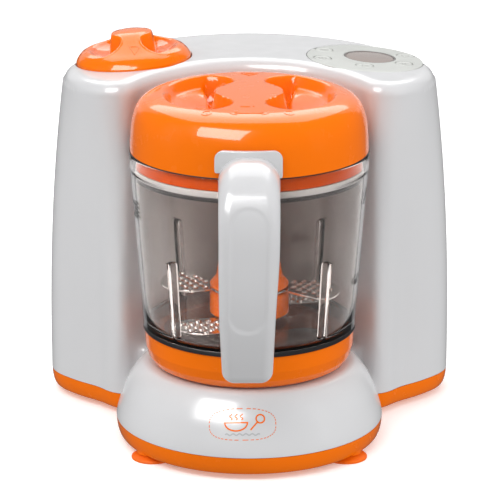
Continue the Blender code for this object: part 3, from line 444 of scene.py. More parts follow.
def clear(name, colour, edge, rough=0.02, ior=1.5):
    """Clear tinted plastic, paler where it is seen edge on as a painted reflection, with faint
    scuffs.
    """
    look = Look(name, Transmission_Weight=1, IOR=ior)
    # Painted reflection: the tint turns to the pale edge colour where the wall is seen edge on.
    tint_and_painted_edge_light = look.ramp(look.add("ShaderNodeLayerWeight").outputs["Facing"], (0.05, colour),
                     (0.42, edge))
    mix = look.add("ShaderNodeMixRGB", tint_and_painted_edge_light, "Color1", Fac=1)
    mix.blend_type = "MULTIPLY"
    scuffs = look.ramp(look.noise(20), (0.35, (0.96, 0.96, 0.96)), (0.65, (1, 1, 1)))
    look.tree.links.new(scuffs, mix.inputs["Color2"])
    look.feed(mix.outputs["Color"])
    look.roughness(look.noise(160, 6), rough * 0.5, rough * 2)
    look.bump(look.noise(24, 1), 0.04, 0.0003)
    return look.material


def board(name):
    """Circuit board: lacquer over faint tracks."""
    look = Look(name)
    tracks = look.add("ShaderNodeTexBrick", look.coords, Scale=180, Mortar_Size=0.03,
                      Color1=(0.02, 0.16, 0.07, 1), Color2=(0.03, 0.22, 0.09, 1),
                      Mortar=(0.18, 0.32, 0.12, 1))
    look.feed(tracks.outputs["Color"])
    look.roughness(look.noise(300), 0.25, 0.45)
    look.bump(tracks.outputs["Fac"], 0.2, 0.0001)
    return look.material


WHITE = (0.62, 0.62, 0.63)
# White of the handle: a satin gloss, and a tone a shade darker than WHITE as painted shade on its
# front faces.
SHADED_SATIN_WHITE = (0.585, 0.585, 0.595)
ORANGE = (0.88, 0.165, 0)
# The lid's orange darkened for the plug: painted shade, for the shade under the lid's rim.
SHADED_ORANGE = (0.39, 0.048, 0)
RUBBER_ORANGE = (0.86, 0.145, 0.003)
MATERIALS = {
    "white_gloss": moulded("white_gloss_plastic", WHITE, 0.22, coat=0.22, drift=0.012),
    # Satin white, darker than the housing's white: real satin gloss and painted shade.
    "white_satin_shaded": moulded("white_satin_shaded_plastic", SHADED_SATIN_WHITE, 0.2, coat=0.15, drift=0.008),
    "orange_gloss": moulded("orange_gloss_plastic", ORANGE, 0.24, coat=0.7, drift=0.02,
                            specular=0.1),
    # Darkened orange of the plug: painted shade.
    "orange_painted_shade": moulded("orange_painted_shade_plastic", SHADED_ORANGE, 0.3, drift=0.02, specular=0.1),
    "orange_rubber": moulded("orange_rubber", RUBBER_ORANGE, 0.42, grain=0.25, specular=0.2),
    # The second colour of each clear plastic is its painted reflection, shown where the wall is
    # seen edge on.
    "smoke_clear": clear("smoke_plastic", (0.66, 0.60, 0.57), (1, 0.98, 0.96), ior=1.45),
    "rim_clear": clear("rim_plastic", (0.86, 0.78, 0.72), (0.97, 0.93, 0.9), ior=1.18),
    "floor_smoke": clear("floor_smoke_plastic", (0.30, 0.29, 0.28), (0.42, 0.41, 0.40), ior=1.45),
    "tank_clear": clear("tank_plastic", (0.93, 0.95, 0.96), (0.98, 0.99, 1), 0.08),
    "black_rubber": moulded("black_rubber", (0.018, 0.018, 0.02), 0.5, grain=0.3, drift=0.1),
    "panel_ivory": moulded("panel_film", (0.48, 0.49, 0.465), 0.33, grain=0.12, drift=0.015),
    "display_glass": moulded("display_glass", (0.29, 0.225, 0.195), 0.1, coat=0.5),
    "steel": metal("brushed_steel", (0.80, 0.80, 0.79), 0.13),
    "aluminium": metal("cast_aluminium", (0.74, 0.75, 0.77), 0.34, (1, 1, 1), 0.3),
    "circuit_green": board("circuit_board"),
    "black_plastic": moulded("black_plastic", (0.03, 0.03, 0.032), 0.38, grain=0.2, drift=0.1),
    "display_rim": moulded("display_rim", (0.16, 0.14, 0.135), 0.25),
    "badge_grey": moulded("badge_grey", (0.40, 0.41, 0.42), 0.4),
    "print_dark": moulded("print_dark", (0.02, 0.02, 0.022), 0.5),
    "print_soft": moulded("print_soft", (0.36, 0.36, 0.34), 0.5),
}


def finish_piece(made, body, slot, *nodes, material=None):
    """Give a piece its material, chosen by its slot unless one is named, and its body, and hide the
    CAD nodes that it stands for.
    """
    made.data.materials.clear()
    made.data.materials.append(MATERIALS[material or slot])
    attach(made, body)
    if nodes:
        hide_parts(*nodes)
    return made


def turned_piece(name, corners, body, slot, *nodes, space=JAR_SPACE, steps=160, material=None):
    """A finished piece from a turned profile of (radius, z, corner radius) corners."""
    made = turned(name, rounded(corners), space, steps)
    return finish_piece(made, body, slot, *nodes, material=material)


# ---- housing and base ----
def lean(z):
    """How far the tower's walls have leant in at a height: 0 at the bottom, 1 at the top."""
    share = (min(z, LEAN_TO_Z) - LEAN_FROM_Z) / (LEAN_TO_Z - LEAN_FROM_Z)
    return max(share, 0) ** LEAN_POWER


def crown(x):
    """Height of the tower's top at x."""
    return TOWER_TOP - CROWN_FALL * x * x


def tower_half(z, inset):
    """Right half of the tower's outline at a height, moved inwards by inset."""
    t = lean(z)
    keys = [tuple(a + (b - a) * t for a, b in zip(low, high)) for low, high in TOWER_KEYS]
    mirrored = [(-keys[1][0], keys[1][1])] + keys + [(-keys[-2][0], keys[-2][1])]
    curve = spline_through(mirrored, 12)[12:-12]
    inner = []
    for i, (x, y) in enumerate(curve):
        before, after = curve[max(i - 1, 0)], curve[min(i + 1, len(curve) - 1)]
        along = Vector((after[0] - before[0], after[1] - before[1]))
        if i in (0, len(curve) - 1):
            along = Vector((1 if i == 0 else -1, 0))
        along.normalize()
        inner.append((x + along.y * inset, y - along.x * inset))
    return inner


def values_at(line, xs):
    """y of a polyline of (x, y) points, with x rising, at each of the rising xs."""
    found, i = [], 0
    for x in xs:
        while i < len(line) - 2 and line[i + 1][0] < x:
            i += 1
        (x0, y0), (x1, y1) = line[i], line[i + 1]
        t = min(max((x - x0) / max(x1 - x0, 1e-9), 0), 1)
        found.append(y0 + (y1 - y0) * t)
    return found


def tower_ring(z, inset=0, height=None, count=220):
    """Outline of the tower as a ring whose back and front points share their x values."""
    half = tower_half(z, inset)
    widest = max(range(len(half)), key=lambda i: half[i][0])
    width = half[widest][0]
    xs = [width * math.sin(math.pi / 2 * 2 * i / count) for i in range(count // 2 + 1)]
    back = values_at(half[:widest + 1], xs)
    front = values_at(half[widest:][::-1], xs)
    ring = [(-x, y) for x, y in zip(xs[:0:-1], back[:0:-1])]
    ring += list(zip(xs, back))
    ring += list(zip(xs[-2::-1], front[-2::-1]))
    ring += [(-x, y) for x, y in zip(xs[1:-1], front[1:-1])]
    return [(x, y, height(x) if height else z) for x, y in ring]


def tower_caps(length):
    """Faces across the tower, each between a pair of back points and the front points facing."""
    half = length // 2
    faces = [(0, 1, length - 1)]
    faces += [(i, i + 1, length - i - 1, length - i) for i in range(1, half - 1)]
    faces.append((half - 1, half, half + 1))
    return faces


def tower_form(low):
    """The tower as a fine solid, closed by its crowned top."""
    first, pitch, walls = TOWER_BASE_Z + 6, 7.4, 24
    rings = [tower_ring(z) for z in [low] + [first + pitch * i for i in range(walls)]]
    for rise, fall in quarter_turn(8):
        rings.append(tower_ring(TOWER_TOP - SHOULDER_R, SHOULDER_R * fall,
                                lambda x, rise=rise: crown(x) + SHOULDER_R * (rise - 1)))
    return loft("tower_form", rings, caps=tower_caps)


PLINTH_KEYS = [(57.5, SEAT_Z), (60, 45.2), (63, 42.6), (66.8, 37.8), (70.4, 31.2),
               (73.2, 23.8), (75, 18), (PLINTH_R, TOWER_BASE_Z)]


def plinth_form(low):
    """The round plinth as a fine solid."""
    profile = [(0, SEAT_Z)] + spline_through(PLINTH_KEYS, 8) + [(PLINTH_R, low), (0, low)]
    return turned("plinth_form", profile, steps=240)


VOXEL = 1.5
VALLEY = (7, 15)    # distances from both forms over which the softening fades
VALLEY_PASSES = 26
EVEN_PASSES = 4


def outer_skin():
    """Outside of the housing: tower and plinth with a soft valley between them."""
    low = 1
    forms = [tower_form(low), plinth_form(low)]
    trees = [surface_tree(form) for form in forms]
    outline = arc((0, 0), 80, 30, 150, 40) + arc((0, 0), 45, 150, 30, 40)
    floor = prism("cradle_floor", outline, low, CRADLE_FLOOR_Z)
    exact = combine(forms[0], [forms[1], floor], "UNION")
    skin = add_object("housing", exact.data.copy())
    modify(skin, "REMESH", mode="VOXEL", voxel_size=VOXEL * MM)
    bake(skin)
    valley = skin.vertex_groups.new(name="valley")
    for vertex in skin.data.vertices:
        away = max((tree.find_nearest(vertex.co)[0] - vertex.co).length for tree in trees) / MM
        weight = 1 - blend_value(*VALLEY, away)
        if weight > 0:
            valley.add([vertex.index], weight, "REPLACE")
    modify(skin, "SMOOTH", iterations=EVEN_PASSES)
    modify(skin, "SHRINKWRAP", target=exact, wrap_method="NEAREST_SURFACEPOINT")
    modify(skin, "SMOOTH", iterations=VALLEY_PASSES, vertex_group="valley")
    bake(skin)
    bpy.data.objects.remove(exact)
    return skin


def base_loop(skin):
    """Cut the skin open at the joint line, and return the cut's outline in millimetres."""
    edit = bmesh.new()
    edit.from_mesh(skin.data)
    cut = bmesh.ops.bisect_plane(edit, geom=edit.verts[:] + edit.edges[:] + edit.faces[:],
                                 plane_co=(0, 0, TOWER_BASE_Z * MM), plane_no=(0, 0, 1),
                                 clear_inner=True)
    here = next(item for item in cut["geom_cut"] if isinstance(item, bmesh.types.BMVert))
    loop = []
    seen = set()
    while here:
        loop.append(here)
        seen.add(here)
        following = [edge.other_vert(here) for edge in here.link_edges if edge.is_boundary]
        here = next((vert for vert in following if vert not in seen), None)
    inverse = JAR_SPACE.inverted()
    outline = [tuple((inverse @ vert.co).xy) for vert in loop]
    edit.to_mesh(skin.data)
    edit.free()
    return outline


def even_outline(points, spacing, passes=6):
    """The outline with evenly spaced points, anticlockwise, slightly smoothed."""
    area = sum(a[0] * b[1] - b[0] * a[1] for a, b in zip(points, points[1:] + points[:1]))
    if area < 0:
        points = points[::-1]
    closed = points + points[:1]
    lengths = [0]
    for a, b in zip(closed, closed[1:]):
        lengths.append(lengths[-1] + math.dist(a, b))
    count = round(lengths[-1] / spacing)
    out, i = [], 0
    for step in range(count):
        goal = lengths[-1] * step / count
        while lengths[i + 1] < goal:
            i += 1
        t = (goal - lengths[i]) / max(lengths[i + 1] - lengths[i], 1e-9)
        out.append(tuple(a + (b - a) * t for a, b in zip(closed[i], closed[i + 1])))
    for _ in range(passes):
        triples = [(out[k - 1], out[k], out[(k + 1) % count]) for k in range(count)]
        out = [tuple((a + 2 * b + c) / 4 for a, b, c in zip(*triple)) for triple in triples]
    return out


def offset_outline(points, inset):
    """The outline moved inwards along its normals."""
    inner = []
    for i, (x, y) in enumerate(points):
        before, after = Vector(points[i - 3]), Vector(points[(i + 3) % len(points)])
        along = (after - before).normalized()
        inner.append((x - along.y * inset, y + along.x * inset))
    return inner


def add_details(housing):
    """Holes, seats and bosses of the housing."""
    ring = rounded([(49.4, 49, 0.5), (49.4, 43, 0), (46.8, 43, 0), (46.8, 49, 0.5)])
    combine(housing, [
        turned("locating_ring", ring),
        rod("spindle_boss", 12, 45.5, 26),
        rod("cap_dish", 35.8, -2.6, -9, CAP_SPACE, 160),
        rod("panel_ledge", 35.6, -2.6, -4.8, PANEL_SPACE, 160)], "UNION")
    dish = [(0, 12), (38, 12), (35.2, 0.35), (34.3, -0.55), (34, -1.6), (34, -6.2),
            (33.2, -7), (0, -7)]
    seat = [(0, 12), (37, 12), (34.9, 0.25), (34.4, -0.4), (34.3, -1.9), (0, -1.9)]
    cutters = [
        turned("dish_room", dish, CAP_SPACE, 180),
        rod("filler_hole", 27.2, 0, -14, CAP_SPACE, 96),
        turned("panel_seat", seat, PANEL_SPACE, 180),
        rod("panel_hole", 33, 0, -14, PANEL_SPACE, 96),
        rod("spindle_bore", 8.3, 52, 20),
        rod("nozzle_hole", 5.4, 95, 60, STEAM_SPACE),
        rod("cord_hole", 6.3, 170, 140, CORD_SPACE)]
    cutters += [post(f"{name}_room", 6.7, BUTTONS[name], -11, 0.1, 40, PANEL_SPACE)
                for name in ("button_menu", "button_blend")]
    return combine(housing, cutters, "DIFFERENCE")


def make_housing():
    """White housing, and the coloured tray that follows its outline."""
    skin = outer_skin()
    outline = even_outline(base_loop(skin), 1.6)
    modify(skin, "SOLIDIFY", thickness=WALL * MM, offset=-1)
    bake(skin)
    add_details(skin)
    finish_piece(smooth(skin, 40), "appliance", "white_gloss", "housing_shell")
    make_tray(outline)
    make_badge(skin)


def middle_of(node):
    """(x, y) of a CAD node's middle, in the jar's millimetres."""
    low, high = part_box(node)
    middle = (Vector(low) + Vector(high)) / 2
    return tuple((JAR_SPACE.inverted() @ middle).xy)


def make_tray(outline):
    """Coloured base tray with a rounded underside, screw recesses and foot holes."""
    top = TOWER_BASE_Z - TRAY_GAP
    depth, tuck = top - TRAY_BOTTOM_Z, 3.6
    levels = [(top - depth * rise, tuck * fall) for rise, fall in quarter_turn(12)[::-1]]
    levels += [(top, 2.4), (6.8, 3.2), (5.4, 6)]
    tray = loft("base_tray", [[(x, y, z) for x, y in offset_outline(outline, inset)]
                              for z, inset in levels])
    inside = TRAY_BOTTOM_Z + 0.2
    posts, cutters = [], []
    for node in ("tray_screw_1", "tray_screw_2", "tray_screw_3", "tray_screw_4"):
        spot = middle_of(node)
        posts.append(post("post", 6, spot, inside, 13.4))
        cutters.append(post("recess", 4.4, spot, 0, 10))
        cutters.append(post("hole", 2.2, spot, 5, 15, 20))
    for node in FEET:
        spot = middle_of(node)
        posts.append(post("pad", 9, spot, inside, 9))
        cutters.append(post("foot_room", 7.6, spot, 0, 5, 40))
        cutters.append(post("foot_hole", 3.4, spot, 0, 15, 24))
    combine(tray, posts, "UNION")
    combine(tray, cutters, "DIFFERENCE")
    finish_piece(smooth(tray), "appliance", "orange_gloss", "base_tray")


def make_feet():
    """Stepped suction feet."""
    profile = [(0, 11.6, 0), (4.2, 11.6, 0.5), (4.9, 9.3, 0.3), (3, 9.3, 0), (3, 4.4, 0.8),
               (6, 4.3, 1.2), (8.2, 2.7, 2), (11, 1.7, 1), (12, 1, 0.4),
               (12, 0, 0.2), (10.2, 0, 0.4), (0, 2.2, 0)]
    for node in FEET:
        turned_piece(f"{node}_cup", profile, "appliance", "orange_rubber", node,
                     space=moved(JAR_SPACE, *middle_of(node)), steps=72)


# ---- jar ----
RIM_FROM_Z = 158.6
FLOOR_TO_Z = 71.5
FLOOR_R = 56.5
# Levels of a rib, from the bottom: height, radius of its inner face, half thickness.
RIB_LEVELS = [(70, 53, 1.9), (107, 55.4, 1.9), (114.2, 55.9, 1.9), (115.6, 56.5, 1.6),
              (116.1, 57.8, 1)]


def make_rib(number):
    """One of the four ribs inside the bowl."""
    rings = []
    for z, reach, half in RIB_LEVELS:
        outline = rounded([(reach + 6.5, -half, 0), (reach, -half * 0.8, half * 0.5),
                           (reach, half * 0.8, half * 0.5), (reach + 6.5, half, 0)], steps=3)
        rings.append([(x, y, z) for x, y in outline])
    turn = Matrix.Rotation(math.radians(45 + 90 * number), 4, "Z")
    return loft(f"rib_{number}", rings, JAR_SPACE @ turn)


def make_bowl():
    """Clear bowl with four inner ribs and the lug that holds the handle."""
    outside = spline_through([(66.9, 159.2), (66.3, 156.6), (65, 139), (62.6, 104),
                              (60.8, 80), (60.2, 69.2)], 6)
    inside = spline_through([(54, 70.4), (57.3, 73.4), (60.1, 104), (62.5, 139),
                             (63.8, 156.4), (64.4, 159.4)], 6)
    bottom = rounded([(60.2, 69.2, 0), (57.4, 69.2, 0.3), (57.4, 61, 0.4), (54.9, 61, 0.4),
                      (54.9, 67.8, 0.6), (10, 67.8, 0.6), (10, 62, 0.4), (8, 62, 0.3),
                      (8, 78, 0.4), (10, 78, 0.6), (10, 70.4, 1), (54, 70.4, 0)])
    rim = rounded([(64.4, 159.4, 0), (64.4, BOWL_RIM_Z, 0.6), (66.9, BOWL_RIM_Z, 0.8),
                   (66.9, 159.2, 0)])
    bowl = turned("bowl", outside + bottom[1:-1] + inside + rim[1:-1])
    lug = rounded([(-7, -78, 1.5), (7, -78, 1.5), (7, -65.8, 0), (-7, -65.8, 0)])
    combine(bowl, [make_rib(i) for i in range(4)] + [prism("lug", lug, 160.2, 166.8)], "UNION")
    combine(bowl, [post("lug_bore", 2, (0, -73.5), 150, 165.5, 24)], "DIFFERENCE")
    finish_piece(smooth(bowl, 30), "jar", "smoke_clear", "jar_bowl")
    bowl.visible_shadow = False
    bowl.data.materials.append(MATERIALS["rim_clear"])
    bowl.data.materials.append(MATERIALS["floor_smoke"])
    for face in bowl.data.polygons:
        if face.center.z > RIM_FROM_Z * MM:
            face.material_index = 1
        elif (face.center.z < FLOOR_TO_Z * MM
              and (face.center - JAR_FOOT).xy.length < FLOOR_R * MM):
            face.material_index = 2


def make_jar_base():
    """Collar and gasket under the bowl."""
    turned_piece("collar", [
        (59.1, 66, 0.4), (58.9, 57, 3), (57.4, 51.5, 3), (55.4, 48.2, 2),
        (52.6, 46.4, 0.8), (50.2, 46.4, 0.5), (50.2, 60.6, 0.3), (57.8, 60.6, 0),
        (57.8, 66, 0.3)], "jar", "orange_gloss", "jar_collar")
    turned_piece("gasket", [(60, 68.9, 0.5), (60, 66.3, 0.5), (57.8, 66.3, 0),
                            (57.8, 68.9, 0)], "jar", "black_rubber", "collar_gasket")


# Level lines on the bowl: angle of the middle in degrees, height, length, slope.
GRADUATIONS = [(193.5, 141.8, 11, 0), (195.5, 139.4, 7, 0), (195.5, 137, 7, 0),
               (193.5, 134.6, 11, 0), (-12, 145.5, 8, 0.9), (-17, 99, 9, 0.4),
               (-17, 96.8, 5, 0.2)]


def bowl_radius(z):
    """Radius of the bowl's outside at a height."""
    return 60.2 + (66.3 - 60.2) * (z - 69.2) / (156.6 - 69.2)


def bowl_surface(across, z):
    """Place on the bowl's outside at an arc length and height, and the normal there."""
    r = bowl_radius(z)
    out = Vector((math.cos(across / r), math.sin(across / r), 0))
    return JAR_SPACE @ Vector((r * out.x, r * out.y, z)), out


def make_graduations():
    """Plain printed level lines on the bowl."""
    lines = []
    for angle, z, length, slope in GRADUATIONS:
        middle = math.radians(angle) * bowl_radius(z)
        lines.append([(middle + sign * length / 2, z + sign * slope * length / 2)
                      for sign in (-1, 1)])
    lay_lines("level_lines", lines, bowl_surface, 1.3, 0.10, "jar", "black_plastic", "print_dark",
              sink=-0.02)


# ---- blades ----
WING = [(20.6, 6.5), (29, 10.5), (38, 9.5), (46, 4.5), (50.3, -4), (50, -13), (46.5, -21),
        (41, -25.5), (35, -23), (28, -17), (19.5, -9.5)]
BLADE_HALF = 0.6        # half of the plate's thickness
BLADE_EDGE = 0.18       # radius of its edges
HOLE_PITCH = 5.6
HOLE_R = 1.65


def blade_outline():
    """Two swept wings, half a turn apart, on a ring."""
    wing = spline_through(WING, 6)
    ring = math.hypot(*wing[0])
    start = math.atan2(wing[-1][1], wing[-1][0])
    end = math.atan2(-wing[0][1], -wing[0][0])
    turn = end - start - 2 * math.pi * (end > start)
    between = [start + turn * i / 16 for i in range(1, 16)]
    points = []
    for sign in (1, -1):
        points += [(sign * x, sign * y) for x, y in wing]
        points += [(sign * ring * math.cos(a), sign * ring * math.sin(a)) for a in between]
    return points


def blade_holes(outline, bore):
    """Centres of the staggered holes that fit on the wings."""
    spots = []
    for row in range(-12, 13):
        for column in range(-12, 13):
            x = (column + 0.5 * (row % 2)) * HOLE_PITCH
            y = row * HOLE_PITCH * 0.87
            if math.hypot(x, y) > bore + 7 and signed_distance((x, y), outline) > 3:
                spots.append((x, y))
    return spots


def make_blade(name, node, z, bore, turn):
    """A perforated blade: a thin plate with rounded edges and raised holes."""
    outline = blade_outline()
    spots = blade_holes(outline, bore)
    drawn = set_values(bpy.data.curves.new(name, "CURVE"), dimensions="2D", fill_mode="BOTH",
                       extrude=0.40 * MM, bevel_depth=BLADE_EDGE * MM, bevel_resolution=2,
                       offset=-BLADE_EDGE * MM)
    loops = [outline, circle(bore, 64)[::-1]]
    loops += [circle(HOLE_R, 16, spot)[::-1] for spot in spots]
    for loop in loops:
        spline = drawn.splines.new("POLY")
        spline.points.add(len(loop) - 1)
        spline.use_cyclic_u = True
        for point, (x, y) in zip(spline.points, loop):
            point.co = (x * MM, y * MM, 0, 1)
    maker = add_object(f"{name}_curve", drawn)
    mesh = evaluated_mesh(maker)
    bpy.data.objects.remove(maker)
    turned_by = Matrix.Rotation(math.radians(turn), 4, "Z")
    mesh.transform(Matrix.Translation(JAR_SPACE @ Vector((0, 0, z + BLADE_HALF))) @ turned_by)
    finish_piece(smooth(add_object(name, mesh), 30), "blade", "steel", node)
    lips = make_lips(f"{name}_lips", spots, z + 2 * BLADE_HALF, JAR_SPACE @ turned_by)
    finish_piece(smooth(lips, 60), "blade", "steel")


def make_lips(name, spots, z, space):
    """Raised crescent lips at the blade's holes."""
    verts, faces = [], []
    around, across = 14, 6
    for x, y in spots:
        start = len(verts)
        for a in (2 * math.pi * i / around for i in range(around)):
            lip = 0.40 + 0.50 * (0.5 + 0.5 * math.cos(a - 0.8)) ** 2
            for b in (2 * math.pi * k / across for k in range(across)):
                r = HOLE_R + 0.20 + 0.32 * math.cos(b)
                verts.append((x + r * math.cos(a), y + r * math.sin(a),
                              z - 0.10 + lip * (0.5 + 0.5 * math.sin(b))))
        for i in range(around):
            here, there = start + i * across, start + (i + 1) % around * across
            for k in range(across):
                after = (k + 1) % across
                faces.append((here + k, here + after, there + after, there + k))
    return make_object(name, verts, faces, space)


def make_hub():
    """Hub and stem that carry the blades."""
    turned_piece("hub", [
        (0, 142, 0), (11, 141.3, 3), (16.6, 136.8, 4.5), (17.4, 104, 8),
        (19, 95.5, 3), (22.2, 91.6, 0.8), (22.2, 90.4, 0.4), (17.1, 90.2, 0.2),
        (17.1, 88.6, 0.2), (21.8, 87.4, 1), (22.5, 85.5, 0.8), (22.5, 75, 0.4),
        (20.5, 75, 0.3), (20.5, 83, 2), (14.2, 88, 1), (12.6, 134, 2),
        (7, 136, 0.5), (7, 86, 0.4), (4.3, 86, 0.3), (4.3, 118, 0.3),
        (0, 118, 0)], "blade", "orange_gloss", "blade_hub", steps=96)


# ---- handle ----
def front_inlay(x, z):
    """Depth of the shallow oval let into the handle's front."""
    low, high, half, depth = 95, 164.6, 10.2, 0.55
    beyond = max(low + half - z, z - high + half, 0)
    return depth * blend_value(-0.3, 1.1, half - math.hypot(x, beyond))


def handle_shift(z):
    """Sideways drift of the handle's lower half."""
    return -1 * blend_value(150, 95, z)


def handle_section(front, back, half, corner, shift):
    """Section of the handle between its front and back faces, moved sideways by shift."""
    front, back = Vector(front), Vector(back)
    depth = (back - front).length
    along = (back - front) / depth
    soft = 2.2
    corner = min(corner, half - 0.6, depth * 0.62)
    flat = half - corner
    outline = arc((-flat, corner), corner, 180, 270, 12)
    outline += [(flat * (k / 12 - 1), 0) for k in range(1, 24)]
    outline += arc((flat, corner), corner, 270, 360, 12)
    outline = [(x, s + front_inlay(x, front.y) * (s < 2)) for x, s in outline]
    outline += arc((half - soft, depth - soft), soft, 0, 90, 6)
    outline += arc((soft - half, depth - soft), soft, 90, 180, 6)
    return [(x + shift, *(front + along * s)) for x, s in outline]


def make_handle():
    """Handle in one flowing form, with the plate over the lid, and its cover."""
    rings = [handle_section(s[:2], s[2:4], *s[4:], handle_shift(s[1]))
             for s in spline_through(HANDLE_STATIONS, 16)]
    last = HANDLE_STATIONS[-1]
    front, back, half, corner = Vector(last[:2]), Vector(last[2:4]), *last[4:]
    onward = (front - Vector(HANDLE_STATIONS[-2][:2])).normalized()
    across = (back - front).normalized()
    length, narrowing = 6.4, 6
    for rise, fall in quarter_turn(8)[1:]:
        shrink, ahead = narrowing * fall, onward * length * rise
        rings.append(handle_section(front + ahead + across * shrink * 0.7,
                                    back + ahead - across * shrink * 0.5,
                                    half - shrink, corner - shrink * 0.6, handle_shift(70)))
    body = combine(loft("handle", rings), [plate_over_lid()], "UNION")
    # The handle takes the satin white, whose darker tone is painted shade.
    finish_piece(smooth(body, 38), "jar", "white_gloss", "handle_shell", material="white_satin_shaded")
    make_handle_cover()


def make_handle_cover():
    """Cover let into the finger side, shown as a panel with a fine joint round it."""
    per_span, ends = 7, 5
    rings = []
    stations = spline_through(HANDLE_STATIONS, per_span)[4 * per_span + 1:10 * per_span - 1]
    for i, s in enumerate(stations):
        back = Vector(s[2:4])
        out = (back - Vector(s[:2])).normalized()
        near = min(i, len(stations) - 1 - i) / ends
        half = s[4] - 4.4 - 3 * round_off(1, near)
        low, high = back - out * 1.2, back + out * 0.25
        corners = ((-half, low), (half, low), (half, high - out * 0.2), (half - 0.4, high),
                   (-half + 0.4, high), (-half, high - out * 0.2))
        rings.append([(handle_shift(s[1]) + x, *place) for x, place in corners])
    finish_piece(smooth(loft("handle_cover_panel", rings)), "jar", "white_gloss", "handle_cover")


def plate_over_lid():
    """Thin rounded plate that reaches up over the lid's edge, curved with it."""
    left, right, top, corner = -19, 18.2, 185.4, 5
    inner, outer, soft = 67.1, 69.5, 0.7
    xs = [left + corner * fall for _, fall in quarter_turn(10)]
    xs += [left + corner + (right - left - 2 * corner) * i / 20 for i in range(1, 20)]
    xs += [right - corner + corner * rise for rise, _ in quarter_turn(10)]
    rings = []
    for x in xs:
        near = min(x - left, right - x)
        high = top - round_off(corner, near)
        low = (173 if x < 0 else 170.2) + round_off(1.2, near)
        thin = round_off(soft, near)
        near_r, far_r = inner + thin * 0.3, outer - thin
        section = rounded([(near_r, low, 0.4), (near_r, high, 0.4), (far_r, high, soft),
                           (far_r, low, 0.5)], steps=4)
        angle = x / outer
        rings.append([(r * math.sin(angle), -r * math.cos(angle), z) for r, z in section])
    return loft("plate", rings)


# ---- lid and cap ----
LID_OUTSIDE = [(0, LID_TOP_Z), (24, 201.8), (44, 201.3), (50.5, 200.8), (56, 199.4),
               (60.5, 196.6), (63.4, 192.2), (65.2, 186), (66.1, 178), (66.5, LID_BASE_Z)]
LID_INSIDE = [(0, 199.2), (44, 198.4), (50, 197.8), (55, 196.2), (59, 193.2),
              (61.6, 188.6), (62.9, 183), (63.7, 176), (64.1, LID_BASE_Z)]
CAP_OUTSIDE = [(0, 16.9), (6, 16.6), (10, 15.9), (13.5, 14.2), (18, 11.4), (24, 8.1),
               (28.5, 6), (31.2, 4), (32.6, 2.2)]
CAP_RIM = [(32.6, 2.2, 0), (33.4, 0.8, 0.6), (33.5, -1, 0.5), (33.5, -3.4, 0.5),
           (22.4, -3.4, 0.3), (22.4, -17, 0.6), (20, -17, 0.6), (20, -1.4, 0.4),
           (11, -1.4, 0.5), (4.5, 11.5, 0.5), (0, 12.5, 0)]
STEPS_ROUND = 300
CHANNEL_DEPTH = 14.6    # of the channel between each of the lid's scoops and the grip
INNER_DEPTH = 16.6      # of the lid's inside under the scoops
CEILING_Z = 180.4       # lowest that the lid's inside goes


def scoop_outlines(quarter):
    """Closed outlines of the finger scoops on the left (-1) and right (1) of a grip."""
    return {side: spline_through([(side * x, y) for x, y in quarter]
                                 + [(side * x, -y) for x, y in quarter[-2:0:-1]], 3, closed=True)
            for side in (-1, 1)}


LID_OUTLINES = scoop_outlines(LID_SCOOP)
CAP_OUTLINES = scoop_outlines(CAP_SCOOP)


def dished(profile, depth_at):
    """Rings of a turned top, from the axis outwards, that sink by depth_at(x, y, r, z)."""
    return [[(x, y, z - depth_at(x, y, r, z)) for x, y in circle(r, STEPS_ROUND)]
            for r, z in profile]


def inside_scoops(x, y, outlines):
    """Distance inside the nearer scoop's outline, negative outside it."""
    return signed_distance((x, y), outlines[1 if x > 0 else -1])


def top_profile(keys, spacing):
    """Fine points along a spline through a profile's keys."""
    line = spline_through(keys, 24)
    points = [line[0]]
    for point in line[1:]:
        if math.dist(point, points[-1]) >= spacing:
            points.append(point)
    return points + [line[-1]]


def lid_depth(x, y, r, z):
    """Depth of the lid's scoops: a sloping shelf outside, a channel round the grip."""
    if r >= 49.5:
        return 0
    shelf = 5.8 + 0.22 * max(47 - math.hypot(x, y), 0) + 1.8 * blend_value(-8, -28, y)
    edge = 21.4 + (0.012 if y < 0 else 0.003) * y * y
    in_channel = blend_value(-1.6, 1.6, edge - abs(x))
    wall = 3.2 + 2.2 * blend_value(24, 40, abs(x))
    share = blend_value(-1, wall, inside_scoops(x, y, LID_OUTLINES))
    return share * (shelf + (CHANNEL_DEPTH - shelf) * in_channel)


def lid_inner_depth(x, y, r, z):
    """Depth of the lid's inside, which clears the scoops above it."""
    deep = INNER_DEPTH * blend_value(-3.2, 1, inside_scoops(x, y, LID_OUTLINES))
    return min(deep, z - CEILING_Z) if r < 52 else 0


def cap_depth(x, y, r, z):
    """Depth of the cap's scoops, with a bead round them."""
    inside = inside_scoops(x, y, CAP_OUTLINES)
    floor = 2.3 + 0.019 * max(r - 12, 0) ** 2
    wall = 2.4 + 5 * blend_value(14, 24, abs(x))
    bead = 0.32 * math.exp(-((inside + 0.9) / 0.6) ** 2) * blend_value(31, 29.5, r)
    return max(z - floor, 0) * blend_value(-0.4, wall, inside) - bead


